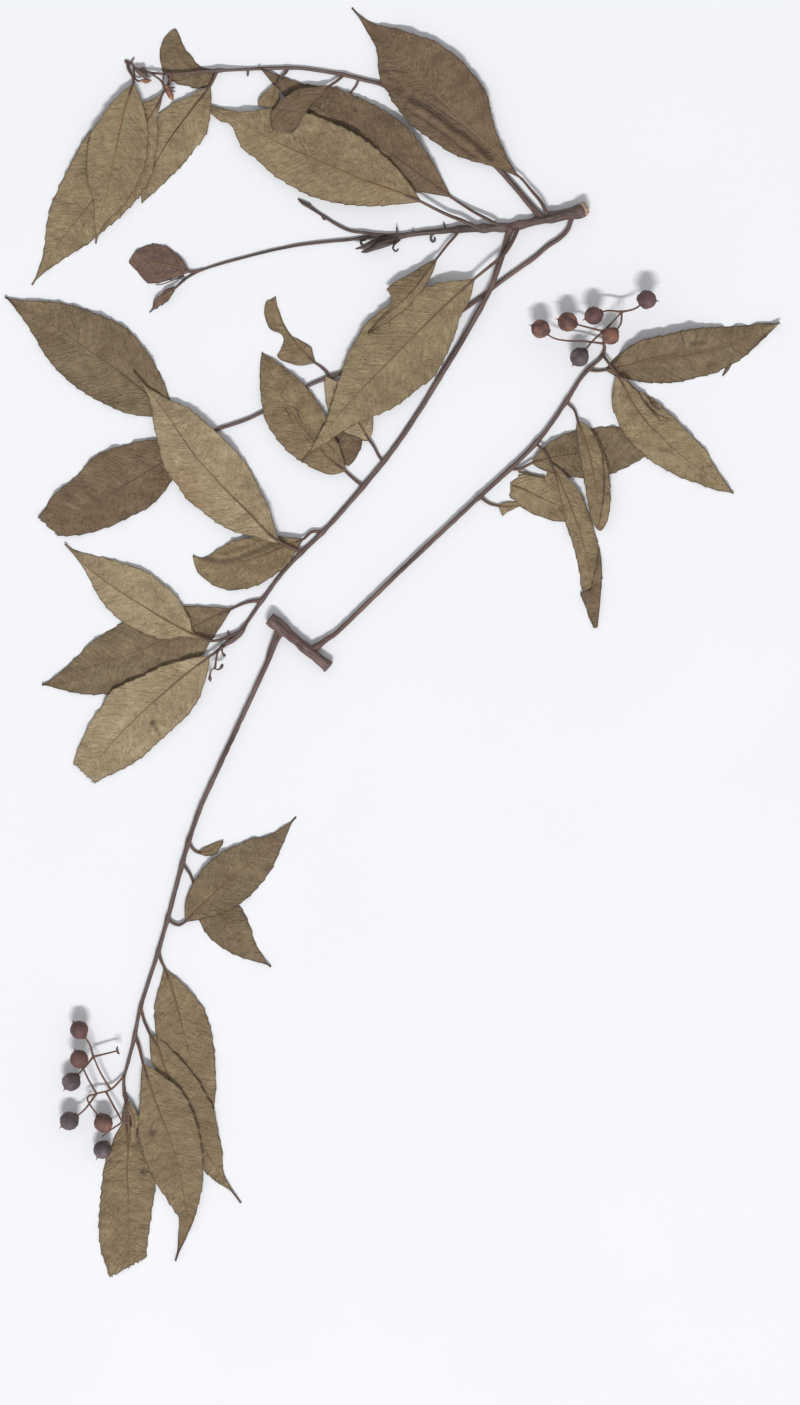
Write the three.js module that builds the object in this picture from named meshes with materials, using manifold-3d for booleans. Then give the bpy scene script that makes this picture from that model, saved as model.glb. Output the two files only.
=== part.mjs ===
// Two dried cuttings of one berrying evergreen shrub, cut, pressed and lying flat.
// Millimetres, +Z up, +Y towards the top of the picture. The origin is on the ground,
// under the middle of the whole.
import * as THREE from "three";
import { mergeVertices } from "three/addons/utils/BufferGeometryUtils.js";
import Module from "manifold-3d";

const wasm = await Module();
wasm.setup();

// Places are given in pixels of the reference picture, sizes in millimetres
const PIXELS_PER_MM = 2.65;
const ORIGIN_PIXEL = [391.96, 642.14];

// Leaves
const THICKNESS_PER_LENGTH = 0.0105; // a blade's thickness for each mm of its length
const LEAST_THICKNESS = 0.75;
const EDGE_SHARE = 0.6; // the margin's thickness against the middle's
const LEAF_STALK_WIDTH = 1.1;
const LEAF_STALK_STEP = 2.5; // between two cross sections of a leaf's stalk
const TIP_WIDTH = 0.5;
const BLADE_STEPS = 14;

// Shoots and stalks
const SHOOT_STEP = 8; // between two rings of a shoot
const LEAST_STRETCHES = 3; // of the shortest shoot
const SHOOT_SIDES = 8;
const STALK_SIDES = 6;
const FRUIT_STALK_STEP = 4;
const CROWDING = 40; // fine points on each stretch of a traced line

// How the pile lies
const GAP = 0.34; // between a leaf's or shoot's foot and what carries it
const BERRY_GAP = 0.42; // between a berry's widest and its stalk's end
const LAY_GAP = 0.45; // between a piece and what lies under it
const CELL = 1; // the grid on which the pile's height is kept
const STEEPEST = 0.16; // the climb of a piece that lies over another
const FOOT_REACH = 8; // how far from its foot a piece still nestles to its carrier
const CUT_REACH = 20; // how much of the carrier, each way, a foot's end is cut back from
const MERGE_WITHIN = 1e-4; // points closer than this are one

// Berries
const BERRY_SIDES = 10;
const BERRY_ROWS = 7;
const STYLE_LENGTH = 0.7; // the dried point on a berry's far end

const FINISHES = {
  leaf_under: { color: 0x8b7b57, roughness: 0.8, metalness: 0 },
  leaf_upper: { color: 0x61533f, roughness: 0.7, metalness: 0 },
  shoot_bark: { color: 0x4f3d38, roughness: 0.75, metalness: 0 },
  old_wood: { color: 0x5d4a41, roughness: 0.9, metalness: 0 },
  berry_skin: { color: 0x5a2f28, roughness: 0.35, metalness: 0 },
};

// Everything that lies on the ground, from the lowest layer to the highest.
// path: a shoot's line from its foot to its tip; thick: its diameters along that line.
// stalk and rib: a leaf's stalk from its foot, and its midrib from the blade's base to its tip.
// wide: the blade's half widths, left and right of the rib as seen from the base.
// peak: where it is widest, from 0 at the base to 1 at the tip. full: low for a blunt
// blade, high for one drawn out to points. raise: how far its two margins lift.
// torn: the line along which the blade's end is torn off. bite: a hollow in one margin.
// on: what carries the foot. fused: the piece that it is one with.
const LAYERS = [
  // First cutting: the lowest shoots and the leaves that lie under all others
  {
    name: "main_stem", finish: "old_wood",
    path: [[584, 210.5], [576, 212], [566, 214.5], [544, 219.5], [518, 225.5], [500, 228],
      [450, 231.5], [417, 234.5], [398, 240]],
    thick: [5.9, 5.2, 4.5, 3.2, 3.1, 2.8, 2.5, 2.0, 1.5],
  },
  {
    name: "thin_twig", on: "main_stem", fused: "main_stem",
    path: [[399, 240], [387, 240], [352, 240], [300, 245], [250, 256], [205, 269], [192, 275], [184, 280]],
    thick: [1.3, 0.8],
  },
  {
    name: "old_stalk", on: "main_stem", fused: "main_stem",
    path: [[424, 233], [412, 231], [398, 231], [351, 231], [341, 227], [323, 216], [314, 210], [302, 202]],
    thick: [1.2, 0.8],
  },
  {
    name: "under_shoot", on: "main_stem",
    path: [[573, 214], [566, 232], [548, 247], [530, 258], [507, 280], [490, 291], [465, 309],
      [420, 334], [380, 353], [345, 371], [308, 386], [261, 413], [240, 422], [213, 431], [192, 441]],
    thick: [1.7, 1.3],
  },
  {
    name: "leaf_under_2", on: "under_shoot", face: "leaf_upper",
    stalk: [[352, 368], [353, 374]], rib: [[353, 380], [353, 410], [352, 442], [348, 466]],
    wide: [4.5, 5.5], peak: 0.5, full: 1.3,
  },
  {
    name: "long_shoot", on: "main_stem",
    path: [[511, 227], [507, 240], [504, 250], [500, 262], [490, 290], [470, 327], [443, 372],
      [416, 416], [389, 455], [362, 488], [337, 517], [323, 532], [286, 569], [264, 598],
      [248, 621], [238, 635], [231, 640], [224, 645]],
    thick: [2.4, 2.3, 2.2, 2.2, 2.1, 2.0, 2.0, 1.9, 1.8, 1.8, 1.7, 1.6, 1.4, 1.4, 1.3, 1.3, 1.5, 1.1],
  },
  {
    name: "leaf_top_3", face: "leaf_under",
    stalk: [[219, 71]], rib: [[216, 71], [196, 70], [181, 58], [175, 29]],
    wide: [8.2, 3.6], peak: 0.5, full: 1.25,
  },
  {
    name: "top_shoot", on: "main_stem",
    path: [[542, 219], [536, 212], [525, 199], [512, 184], [498, 168.5], [481, 153.5], [462, 138.5],
      [448, 127.5], [428, 113.5], [410, 101], [394, 91], [381, 84.7], [364, 80], [343, 75], [320, 71],
      [300, 68.5], [267, 68.5], [240, 70], [212, 71.5], [163, 73], [149, 72.5], [134, 66], [125, 60]],
    thick: [2.6, 2.4, 2.2, 2.0, 1.9, 1.9, 1.8, 1.8, 1.7, 1.7, 1.6, 1.5, 1.5, 1.4, 1.4,
      1.3, 1.3, 1.2, 1.1, 0.9, 0.8, 0.7, 0.6],
  },
  {
    name: "top_hook", on: "top_shoot", fused: "top_shoot",
    path: [[359, 79], [356, 86], [350, 93.5]], thick: [0.9, 0.7],
  },
  {
    name: "top_stub", on: "top_shoot", fused: "top_shoot",
    path: [[248, 70], [248, 73], [247.5, 76.5]], thick: [1, 0.8],
  },
  {
    name: "top_bud_stub", on: "top_shoot", fused: "top_shoot",
    path: [[129, 63], [131.5, 60], [134, 57.5]], thick: [0.7, 0.6],
  },
  {
    name: "leaf_twig_1", on: "thin_twig", face: "leaf_under",
    stalk: [[203, 270], [197, 271.5]], rib: [[190, 272], [172, 266], [150, 262], [129, 262]],
    wide: [8.2, 7], peak: 0.57, full: 1.9,
  },
  {
    name: "young_leaf_twig", on: "thin_twig", fused: "main_stem", face: "leaf_under",
    stalk: [[185, 279], [180, 284]], rib: [[176, 288], [162.5, 298], [157, 304], [149.5, 313]],
    wide: [2.4, 2], peak: 0.4, full: 1.5,
  },
  // First cutting: the bracts at the main stem's end and the hooked stubs near it
  {
    name: "low_bract", on: "main_stem", fused: "main_stem",
    path: [[399, 240], [390, 245], [378, 250], [359, 251]], thick: [1.9, 0.7],
  },
  {
    name: "high_bract", on: "main_stem", fused: "main_stem",
    path: [[399, 240], [387, 243.5], [375, 246], [362, 244]], thick: [1.6, 0.7],
  },
  {
    name: "hook_left", on: "old_stalk", fused: "main_stem",
    path: [[398, 231], [396, 227.5], [398.5, 224]], thick: [0.8, 0.6],
  },
  {
    name: "hook_middle", on: "main_stem", fused: "main_stem",
    path: [[434, 233], [432, 239], [434.5, 242], [437, 239]], thick: [0.9, 0.6],
  },
  {
    name: "hook_right", on: "main_stem", fused: "main_stem",
    path: [[445, 232], [444.5, 227], [443, 222]], thick: [0.9, 0.6],
  },
  {
    name: "hook_low", on: "main_stem", fused: "main_stem",
    path: [[398, 240], [393.5, 246], [393.5, 250], [398, 252]], thick: [0.9, 0.7],
  },
  // First cutting: the leaves along the top
  {
    name: "leaf_trunk_1", on: "main_stem", face: "leaf_upper",
    stalk: [[549, 218], [541, 203], [532, 192], [521, 179]],
    rib: [[512, 171], [493, 156], [461, 122], [425, 81], [400, 56], [385, 42], [352, 8]],
    wide: [15.5, 15.4], peak: 0.45, full: 3.3, raise: [0, 1],
  },
  {
    name: "leaf_trunk_2", on: "main_stem", face: "leaf_upper",
    stalk: [[502, 227], [488, 220], [475, 213], [464, 206]],
    rib: [[452, 198], [415, 172], [381, 148], [348, 128], [312, 106], [266, 76]],
    wide: [11, 12.6], peak: 0.48, full: 2.4,
  },
  {
    name: "leaf_top_2", on: "top_shoot", face: "leaf_under",
    stalk: [[287, 67], [281, 76]], rib: [[276, 85], [268, 109]],
    wide: [4, 4.4], peak: 0.55, full: 0.95,
  },
  {
    name: "leaf_trunk_3", on: "main_stem", face: "leaf_under",
    stalk: [[484, 230], [462, 221], [449, 216], [437, 210.5]],
    rib: [[422, 203], [399, 194], [357, 179], [316, 161], [273, 141], [240, 123], [212, 106]],
    wide: [12.9, 16], peak: 0.47, full: 2.3,
  },
  {
    name: "leaf_top_1", on: "top_shoot", face: "leaf_under",
    stalk: [[344, 76], [338, 83]], rib: [[332, 86], [319, 96], [308, 108], [299, 123], [291, 137]],
    wide: [0.9, 10.8], peak: 0.62, full: 1.1,
  },
  {
    name: "leaf_top_4", on: "top_shoot", face: "leaf_under",
    stalk: [[217, 72], [214, 79]], rib: [[210, 87], [191, 111], [172, 136], [156, 163], [142, 203]],
    wide: [10.6, 8.9], peak: 0.45, full: 1.9,
  },
  {
    name: "leaf_top_5", on: "top_shoot", face: "leaf_under",
    stalk: [[172, 74], [169, 84]],
    rib: [[164, 92], [157, 107], [147, 122], [115, 170], [89, 205], [63, 238], [45, 264], [32, 285]],
    wide: [13.4, 14.6], peak: 0.44, full: 2.7,
  },
  {
    name: "leaf_top_6", on: "top_shoot", face: "leaf_under",
    stalk: [[127, 61], [129, 70], [133, 77]],
    rib: [[134, 83], [126, 107], [119, 138], [113, 165], [107, 195], [99, 220], [96, 244]],
    wide: [12.1, 10.6], peak: 0.43, full: 2.7, raise: [0, 0.8],
  },
  {
    name: "top_flower_right", on: "top_shoot", fused: "top_shoot",
    path: [[151, 73.5], [162, 80.5], [168, 89], [174, 97]], thick: [0.9, 1.7],
  },
  {
    name: "top_flower_middle", on: "top_shoot", fused: "top_shoot",
    path: [[146, 72], [143.5, 77], [151, 81.5]], thick: [0.9, 1.2],
  },
  // First cutting: the leaves in the middle
  {
    name: "leaf_under_1", on: "under_shoot", face: "leaf_under",
    stalk: [[331, 376], [322, 372]], rib: [[316, 364], [301, 351], [286, 335], [276, 315], [275, 292]],
    wide: [6.6, 2.6], peak: 0.42, full: 1.2, bite: { side: 0, at: 0.52, deep: 0.55, long: 0.09 },
  },
  {
    name: "leaf_long_1", on: "long_shoot", face: "leaf_under",
    stalk: [[380, 458], [372, 445]], rib: [[367, 438], [350, 418], [335, 396], [325, 376]],
    wide: [6, 8], peak: 0.42, full: 1.8,
  },
  {
    name: "leaf_long_2", on: "long_shoot", face: "leaf_under",
    stalk: [[360, 484], [352, 473]],
    rib: [[345, 467], [326, 450], [308, 436], [288, 407], [276, 386], [262, 353]],
    wide: [10.4, 10.6], peak: 0.44, full: 1.6,
  },
  {
    name: "leaf_trunk_4", on: "main_stem", face: "leaf_under",
    stalk: [[519, 225], [514, 238], [509, 247.5], [502, 257], [491, 266]],
    rib: [[476, 278], [436, 315], [388, 363], [344, 409], [302, 463]],
    wide: [15.9, 15.4], peak: 0.41, full: 3.2,
  },
  {
    name: "leaf_trunk_5", on: "main_stem", face: "leaf_upper",
    stalk: [[459, 231], [446, 250], [436, 263]],
    rib: [[429, 271], [414, 290], [398, 306], [380, 322], [368, 334]],
    wide: [2.5, 8.4], peak: 0.42, full: 1.9, bite: { side: 1, at: 0.66, deep: 0.5, long: 0.07 },
  },
  {
    name: "leaf_under_3", on: "under_shoot", face: "leaf_upper",
    stalk: [[198, 438], [188, 434]],
    rib: [[177, 421], [168, 412], [148, 395], [120, 372], [88, 350], [60, 330], [5, 297]],
    wide: [14.4, 14.2], peak: 0.47, full: 2.5, raise: [0, 0.6],
  },
  {
    name: "leaf_under_4", on: "under_shoot", face: "leaf_upper",
    stalk: [[193, 440.5], [190, 445]],
    rib: [[186, 449], [160, 464], [125, 485], [98, 502], [70, 513], [44, 521], [20, 526]],
    wide: [12, 14.9], peak: 0.42, full: 1.7, torn: [[39, 517], [59, 536]],
  },
  {
    name: "leaf_long_3", on: "long_shoot", face: "leaf_under",
    stalk: [[321, 532], [312, 532]],
    rib: [[304, 539], [275, 551], [250, 560], [225, 565], [204, 562], [193, 556]],
    wide: [10.6, 8.4], peak: 0.54, full: 2,
  },
  {
    name: "leaf_long_4", on: "long_shoot", face: "leaf_under",
    stalk: [[302, 553], [292, 548]],
    rib: [[283, 544], [272, 537], [250, 514], [221, 485], [193, 453], [168, 416], [134, 372]],
    wide: [13, 12.6], peak: 0.43, full: 2.7, raise: [0.5, 0],
  },
  {
    name: "leaf_long_5", on: "long_shoot", face: "leaf_under",
    stalk: [[263, 600], [248, 602]], rib: [[233, 608], [194, 627], [143, 650], [98, 665], [42, 685]],
    wide: [13.6, 12.2], peak: 0.48, full: 2.4,
  },
  {
    name: "leaf_long_6", on: "long_shoot", face: "leaf_under",
    stalk: [[242, 630], [229.5, 636], [219, 640]],
    rib: [[212, 641], [192, 634], [171, 623], [143, 606], [112, 586], [88, 568], [65, 544]],
    wide: [9.4, 12], peak: 0.48, full: 3.2,
  },
  {
    name: "leaf_long_7", on: "long_shoot", face: "leaf_under",
    stalk: [[224, 645], [217, 651.5]],
    rib: [[209, 657], [184, 676], [163, 694], [133, 721], [112, 743], [92, 768], [75, 795]],
    wide: [13.2, 12.9], peak: 0.47, full: 1.65, torn: [[75, 764], [95, 782.5]],
  },
  {
    name: "long_flower", on: "long_shoot", fused: "long_shoot",
    path: [[230, 641], [221, 655], [215.5, 664], [211.5, 672], [210, 682]], thick: [0.9, 1.2],
  },
  {
    name: "long_flower_bud", on: "long_flower", fused: "long_shoot",
    path: [[215, 666], [221, 669.5], [225, 663.5]], thick: [0.9, 1.4],
  },
  // Second cutting: the piece of old wood and its two shoots
  { name: "cut_wood", finish: "old_wood", path: [[270, 619], [299, 643], [329, 668]], thick: [5, 5.4, 5] },
  {
    name: "down_shoot", on: "cut_wood",
    path: [[279, 627], [271, 649], [260, 682], [243.5, 717], [224.5, 763], [201, 810], [189, 841],
      [181, 869], [168, 918], [158, 953], [148, 984], [140, 1010], [134, 1040], [127, 1067],
      [124, 1079], [125, 1097]],
    thick: [2.6, 2.3, 2.2, 2.1, 2, 1.9, 1.8, 1.8, 1.7, 1.6, 1.5, 1.4, 1.3, 1.2, 1.1, 1],
  },
  {
    name: "right_shoot", on: "cut_wood",
    path: [[311, 652], [321, 642], [335, 634], [349, 621], [398.5, 571], [468.5, 505], [537, 442],
      [566, 402], [579, 381], [588, 370], [602, 356], [605, 346]],
    thick: [2.4, 2.2, 2.1, 2, 1.9, 1.8, 1.7, 1.5, 1.4, 1.3, 1.2, 1],
  },
  // Second cutting: the leaves of the shoot that runs down
  {
    name: "young_leaf_down", on: "down_shoot", fused: "down_shoot", face: "leaf_under",
    stalk: [[189, 842], [194, 850]], rib: [[199, 853], [211, 850], [223, 841]],
    wide: [1.9, 1.9], peak: 0.5, full: 1.6,
  },
  {
    name: "leaf_down_1", on: "down_shoot", face: "leaf_under",
    stalk: [[182, 864], [190, 874]], rib: [[193, 882], [207, 900], [222, 917], [245, 943], [271, 967]],
    wide: [7.8, 8.8], peak: 0.43, full: 2.6,
  },
  {
    name: "leaf_down_2", on: "down_shoot", face: "leaf_under",
    stalk: [[167, 919], [173, 923], [179, 925]],
    rib: [[185, 922], [201, 906], [219, 889], [238, 873], [254, 861], [270, 845], [296, 817]],
    wide: [10.3, 9.6], peak: 0.4, full: 2.6, raise: [1, 0],
  },
  {
    name: "leaf_down_3", on: "down_shoot", face: "leaf_under",
    stalk: [[158, 951], [161, 960]],
    rib: [[164, 967], [171, 985], [178, 1010], [185, 1038], [194, 1066], [214, 1109]],
    wide: [10.6, 9], peak: 0.5, full: 2.2,
  },
  {
    name: "leaf_down_4", on: "down_shoot", face: "leaf_under",
    stalk: [[141, 1008], [144, 1020]],
    rib: [[149, 1032], [158, 1048], [166, 1070], [182, 1104], [202, 1144], [218, 1171], [242, 1204]],
    wide: [8.8, 8], peak: 0.45, full: 2.6,
  },
  {
    name: "leaf_down_6", on: "down_shoot", face: "leaf_under",
    stalk: [[125, 1097], [127, 1108]],
    rib: [[126, 1121], [128, 1149], [127, 1172], [128, 1191], [128, 1220], [128, 1262], [128, 1320]],
    wide: [10, 10.9], peak: 0.42, full: 1.45, torn: [[109, 1277], [146, 1257]],
  },
  {
    name: "young_leaf_low", on: "down_shoot", fused: "down_shoot", face: "leaf_under",
    stalk: [[125, 1090], [129, 1103]], rib: [[131.5, 1112], [135, 1126], [136, 1143]],
    wide: [1.8, 1.6], peak: 0.45, full: 1.2,
  },
  {
    name: "leaf_down_5", on: "down_shoot", face: "leaf_under",
    stalk: [[135, 1036], [139, 1046]],
    rib: [[143, 1062], [155, 1099], [168, 1133], [176, 1162], [181, 1196], [177, 1261]],
    wide: [12.4, 8.8], peak: 0.38, full: 2.6,
  },
  // Second cutting: the leaves of the shoot that runs right
  {
    name: "leaf_right_3", on: "right_shoot", face: "leaf_under",
    stalk: [[509, 469], [519, 469]], rib: [[532, 463], [559, 457], [604, 451], [652, 450]],
    wide: [9.3, 9.5], peak: 0.52, full: 1.35,
  },
  {
    name: "leaf_right_1", on: "right_shoot", face: "leaf_under",
    stalk: [[479, 497], [489, 502]], rib: [[500, 507], [516, 501], [540, 500], [578, 512]],
    wide: [8.6, 5.8], peak: 0.55, full: 1.1,
  },
  {
    name: "leaf_right_2", on: "right_shoot", face: "leaf_under",
    stalk: [[536, 444], [545, 453]], rib: [[551, 464], [568, 500], [582, 540], [592, 580], [597, 628]],
    wide: [5.6, 5], peak: 0.44, full: 1.6,
  },
  {
    name: "leaf_right_4", on: "right_shoot", face: "leaf_under",
    stalk: [[566, 402], [574, 410]], rib: [[578, 422], [588, 450], [596, 490], [600, 531]],
    wide: [5.6, 4.4], peak: 0.5, full: 1.1,
  },
  {
    name: "leaf_right_5", on: "right_shoot", face: "leaf_under",
    stalk: [[588, 370], [597, 371]],
    rib: [[606, 370], [627, 366], [652, 359], [681, 354], [716, 346], [743, 338], [779, 322]],
    wide: [8.9, 10.3], peak: 0.42, full: 1.8, raise: [5, 0],
  },
  {
    name: "leaf_right_6", on: "right_shoot", face: "leaf_under",
    stalk: [[603, 355], [611, 367]],
    rib: [[617, 378], [628, 396], [643, 415], [660, 434], [682, 456], [707, 477], [734, 494]],
    wide: [8.7, 10], peak: 0.41, full: 1.9,
  },
];

// The fruit stalks: pixels and heights from the shoot to just short of each berry
const FRUIT_STALKS = {
  stalks_right: {
    on: "right_shoot",
    lines: [
      [[604, 349, 0], [603, 340, 3.6], [603, 332, 5]],
      [[603, 344, 3.2], [584, 342, 5], [566, 341.5, 6.2], [553, 339, 7.2], [540, 330, 8]],
      [[603, 332, 5], [586, 328, 6.8], [567, 323, 8.2]],
      [[603, 332, 5], [593, 341, 5.6], [579, 358, 6.4]],
      [[603, 332, 5], [612, 323, 6.6], [621, 313, 7.6]],
      [[621, 313, 7.6], [606, 312, 8.4], [593, 317, 8.8]],
      [[621, 313, 7.6], [634, 310, 8.6], [646, 301, 9.4]],
      [[621, 313, 7.6], [620, 325, 7.4], [610, 337, 7.4]],
    ],
  },
  stalks_left: {
    on: "down_shoot",
    lines: [
      [[124, 1076, 0], [111, 1089, 3.2], [97, 1093, 4.4], [88, 1097, 4.8], [104, 1122, 5.6]],
      [[97, 1093, 4.4], [84, 1110, 5.2], [70, 1120, 5.8]],
      [[111, 1089, 3.2], [101, 1072, 4.6], [94, 1056, 5.6]],
      [[94, 1056, 5.6], [90, 1043, 6], [80, 1029, 6.4]],
      [[94, 1056, 5.6], [106, 1053, 6], [118, 1050, 6.2]],
      [[94, 1056, 5.6], [85, 1067, 5.6], [72, 1081, 5.6]],
      [[97, 1093, 4.4], [89, 1078, 6.8], [80, 1058, 7.6]],
      [[111, 1089, 3.2], [114, 1107, 4.4], [119, 1119, 5], [113, 1134, 4.8], [103, 1149, 4.4]],
    ],
  },
};
const FRUIT_STALK_THICK = [1, 0.8];

// Berries: pixels, height and radius, and the place on its stalk that each points away from
const BERRIES = [
  { name: "berry_right_1", at: [540, 330, 8], radius: 3.35, from: [567, 340, 6.2] },
  { name: "berry_right_2", at: [567, 323, 8.2], radius: 3.5, from: [586, 328, 6.8] },
  { name: "berry_right_3", at: [593, 317, 8.8], radius: 3.3, from: [606, 312, 8.4] },
  { name: "berry_right_4", at: [610, 337, 7.4], radius: 3.15, from: [620, 325, 7.4] },
  { name: "berry_right_5", at: [579, 358, 6.4], radius: 3.45, from: [593, 341, 5.6] },
  { name: "berry_right_6", at: [646, 301, 9.4], radius: 3.4, from: [634, 309, 8.6] },
  { name: "berry_left_1", at: [80, 1029, 6.4], radius: 3.3, from: [90, 1043, 6] },
  { name: "berry_left_2", at: [80, 1058, 7.6], radius: 3.3, from: [89, 1078, 6.8] },
  { name: "berry_left_3", at: [72, 1081, 5.6], radius: 3.35, from: [85, 1067, 5.6] },
  { name: "berry_left_4", at: [70, 1120, 5.8], radius: 3.4, from: [84, 1110, 5.2] },
  { name: "berry_left_5", at: [104, 1122, 5.6], radius: 3.4, from: [88, 1097, 4.8] },
  { name: "berry_left_6", at: [103, 1149, 4.4], radius: 3.3, from: [113, 1134, 4.8] },
];

// Lines on the ground plan

function place([px, py]) {
  return [(px - ORIGIN_PIXEL[0]) / PIXELS_PER_MM, (ORIGIN_PIXEL[1] - py) / PIXELS_PER_MM];
}

// A smooth line through the points, and the distance run along it at each of them
function trace(points) {
  const knots = points.map(([x, y, z = 0]) => new THREE.Vector3(x, y, z));
  const curve = new THREE.CatmullRomCurve3(knots, false, "centripetal");
  const fine = curve.getPoints((knots.length - 1) * CROWDING);
  const run = [0];
  for (let i = 1; i < fine.length; i++) {
    run.push(run[i - 1] + fine[i].distanceTo(fine[i - 1]));
  }
  return { fine, run, length: run.at(-1), knotRun: knots.map((_, k) => run[k * CROWDING]) };
}

function alongTrace({ fine, run }, distance) {
  let i = 1;
  while (i < run.length - 1 && run[i] < distance) {
    i++;
  }
  const share = THREE.MathUtils.clamp((distance - run[i - 1]) / (run[i] - run[i - 1]), 0, 1);
  return {
    at: fine[i - 1].clone().lerp(fine[i], share),
    ahead: fine[i].clone().sub(fine[i - 1]).normalize(),
  };
}

// A value listed at each knot of a traced line, or only at its ends
function valueAlong(values, knotRun, distance) {
  const stops = values.length === knotRun.length ? knotRun : [knotRun[0], knotRun.at(-1)];
  let i = 1;
  while (i < stops.length - 1 && stops[i] < distance) {
    i++;
  }
  const share = THREE.MathUtils.clamp((distance - stops[i - 1]) / (stops[i] - stops[i - 1]), 0, 1);
  return THREE.MathUtils.lerp(values[i - 1], values[i], share);
}

// Stations: a piece's cross sections, each with its middle, half widths and half height

function station(line, distance, left, right, half, lift = [0, 0]) {
  const { at, ahead } = alongTrace(line, distance);
  return { at, ahead, left, right, half, lift, run: distance };
}

function shootStations({ path, thick }) {
  const line = trace(path);
  const steps = Math.max(LEAST_STRETCHES, Math.ceil(line.length / SHOOT_STEP));
  return Array.from({ length: steps + 1 }, (_, i) => {
    const distance = (line.length * i) / steps;
    const radius = valueAlong(thick, line.knotRun, distance) / 2;
    return station(line, distance, radius, radius, radius);
  });
}

// The half width of a blade as a share of its widest, from 0 at the base to 1 at the tip
function bladeShape(t, peak, full) {
  return (t / peak) ** (full * peak) * ((1 - t) / (1 - peak)) ** (full * (1 - peak));
}

// The share of the half width that a bite leaves on one side
function leftBy(bite, side, t) {
  return bite?.side === side ? 1 - bite.deep * Math.exp(-(((t - bite.at) / bite.long) ** 2)) : 1;
}

function leafStations({ stalk, rib, wide, peak, full, bite, raise = [0, 0] }) {
  const line = trace([...stalk, ...rib]);
  const base = line.knotRun[stalk.length];
  const bladeLength = line.length - base;
  const half = Math.max(LEAST_THICKNESS, THICKNESS_PER_LENGTH * bladeLength) / 2;
  const stalkHalf = LEAF_STALK_WIDTH / 2;
  const stalkSteps = Math.ceil(base / LEAF_STALK_STEP);
  const stations = Array.from({ length: stalkSteps }, (_, i) => {
    return station(line, (base * i) / stalkSteps, stalkHalf, stalkHalf, stalkHalf);
  });
  for (let i = 0; i < BLADE_STEPS; i++) {
    const even = i / BLADE_STEPS;
    const t = (even + (1 - Math.cos(Math.PI * even)) / 2) / 2;
    const shape = bladeShape(t, peak, full);
    const halves = wide.map((width, side) => width * shape * leftBy(bite, side, t));
    const [left, right] = halves.map((width) => Math.max(stalkHalf, width));
    const lift = raise.map((height) => height * shape);
    stations.push(station(line, base + t * bladeLength, left, right, half, lift));
  }
  stations.push(station(line, line.length, TIP_WIDTH / 2, TIP_WIDTH / 2, half * EDGE_SHARE));
  return stations;
}

// Laying the pile: each piece rests on the ground or on what was laid before it

const laid = [];
const cellOf = (x, y) => `${Math.round(x / CELL)},${Math.round(y / CELL)}`;

// Places spread over the stretch between two stations, with the margin's lift there
function spotsBetween(a, b) {
  const spots = [];
  const steps = Math.ceil(a.at.distanceTo(b.at) / CELL);
  for (let k = 0; k <= steps; k++) {
    const t = k / steps;
    const middle = a.at.clone().lerp(b.at, t);
    const ahead = a.ahead.clone().lerp(b.ahead, t).setZ(0).normalize();
    const left = THREE.MathUtils.lerp(a.left, b.left, t);
    const right = THREE.MathUtils.lerp(a.right, b.right, t);
    const across = Math.ceil((left + right) / CELL) + 1;
    for (let m = 0; m <= across; m++) {
      const side = -right + ((left + right) * m) / across;
      const which = side > 0 ? 0 : 1;
      const share = Math.abs(side) / (side > 0 ? left : right);
      const lift = THREE.MathUtils.lerp(a.lift[which], b.lift[which], t) * share;
      spots.push({ x: middle.x - ahead.y * side, y: middle.y + ahead.x * side, z: middle.z, lift });
    }
  }
  return spots;
}

function heightNeeded(stations, i, carrier) {
  const { half, run } = stations[i];
  let height = half;
  for (const j of [i - 1, i]) {
    if (j < 0 || j + 1 >= stations.length) {
      continue;
    }
    for (const { x, y, lift } of spotsBetween(stations[j], stations[j + 1])) {
      for (const piece of laid) {
        if (piece.name === carrier && run < FOOT_REACH) {
          continue;
        }
        const top = piece.tops.get(cellOf(x, y));
        if (top !== undefined) {
          height = Math.max(height, top + LAY_GAP + half - lift);
        }
      }
    }
  }
  return height;
}

function lay(name, stations, carrier, footHeight) {
  const needed = stations.map((_, i) => heightNeeded(stations, i, carrier));
  if (footHeight !== undefined) {
    needed[0] = footHeight;
  }
  stations.forEach((here, i) => {
    const heights = needed.map((height, j) => height - STEEPEST * Math.abs(stations[j].run - here.run));
    here.at.z = i === 0 && footHeight !== undefined ? footHeight : Math.max(...heights);
  });
  const tops = new Map();
  for (let i = 0; i + 1 < stations.length; i++) {
    const half = Math.max(stations[i].half, stations[i + 1].half);
    for (const { x, y, z, lift } of spotsBetween(stations[i], stations[i + 1])) {
      for (const dx of [-CELL, 0, CELL]) {
        for (const dy of [-CELL, 0, CELL]) {
          const cell = cellOf(x + dx, y + dy);
          tops.set(cell, Math.max(tops.get(cell) ?? 0, z + half + lift));
        }
      }
    }
  }
  laid.push({ name, stations, tops });
}

// The place on a laid shoot's middle line that is nearest to a point
function nearestOn(shootName, [x, y]) {
  const { stations } = laid.find((piece) => piece.name === shootName);
  const target = new THREE.Vector3(x, y, 0);
  let best;
  for (let i = 0; i + 1 < stations.length; i++) {
    const from = stations[i].at;
    const to = stations[i + 1].at;
    const flat = new THREE.Line3(from.clone().setZ(0), to.clone().setZ(0));
    const share = flat.closestPointToPointParameter(target, true);
    const near = from.clone().lerp(to, share);
    const distance = Math.hypot(near.x - x, near.y - y);
    if (!best || distance < best.distance) {
      best = { near, distance };
    }
  }
  return best.near;
}

// Solids

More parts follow.
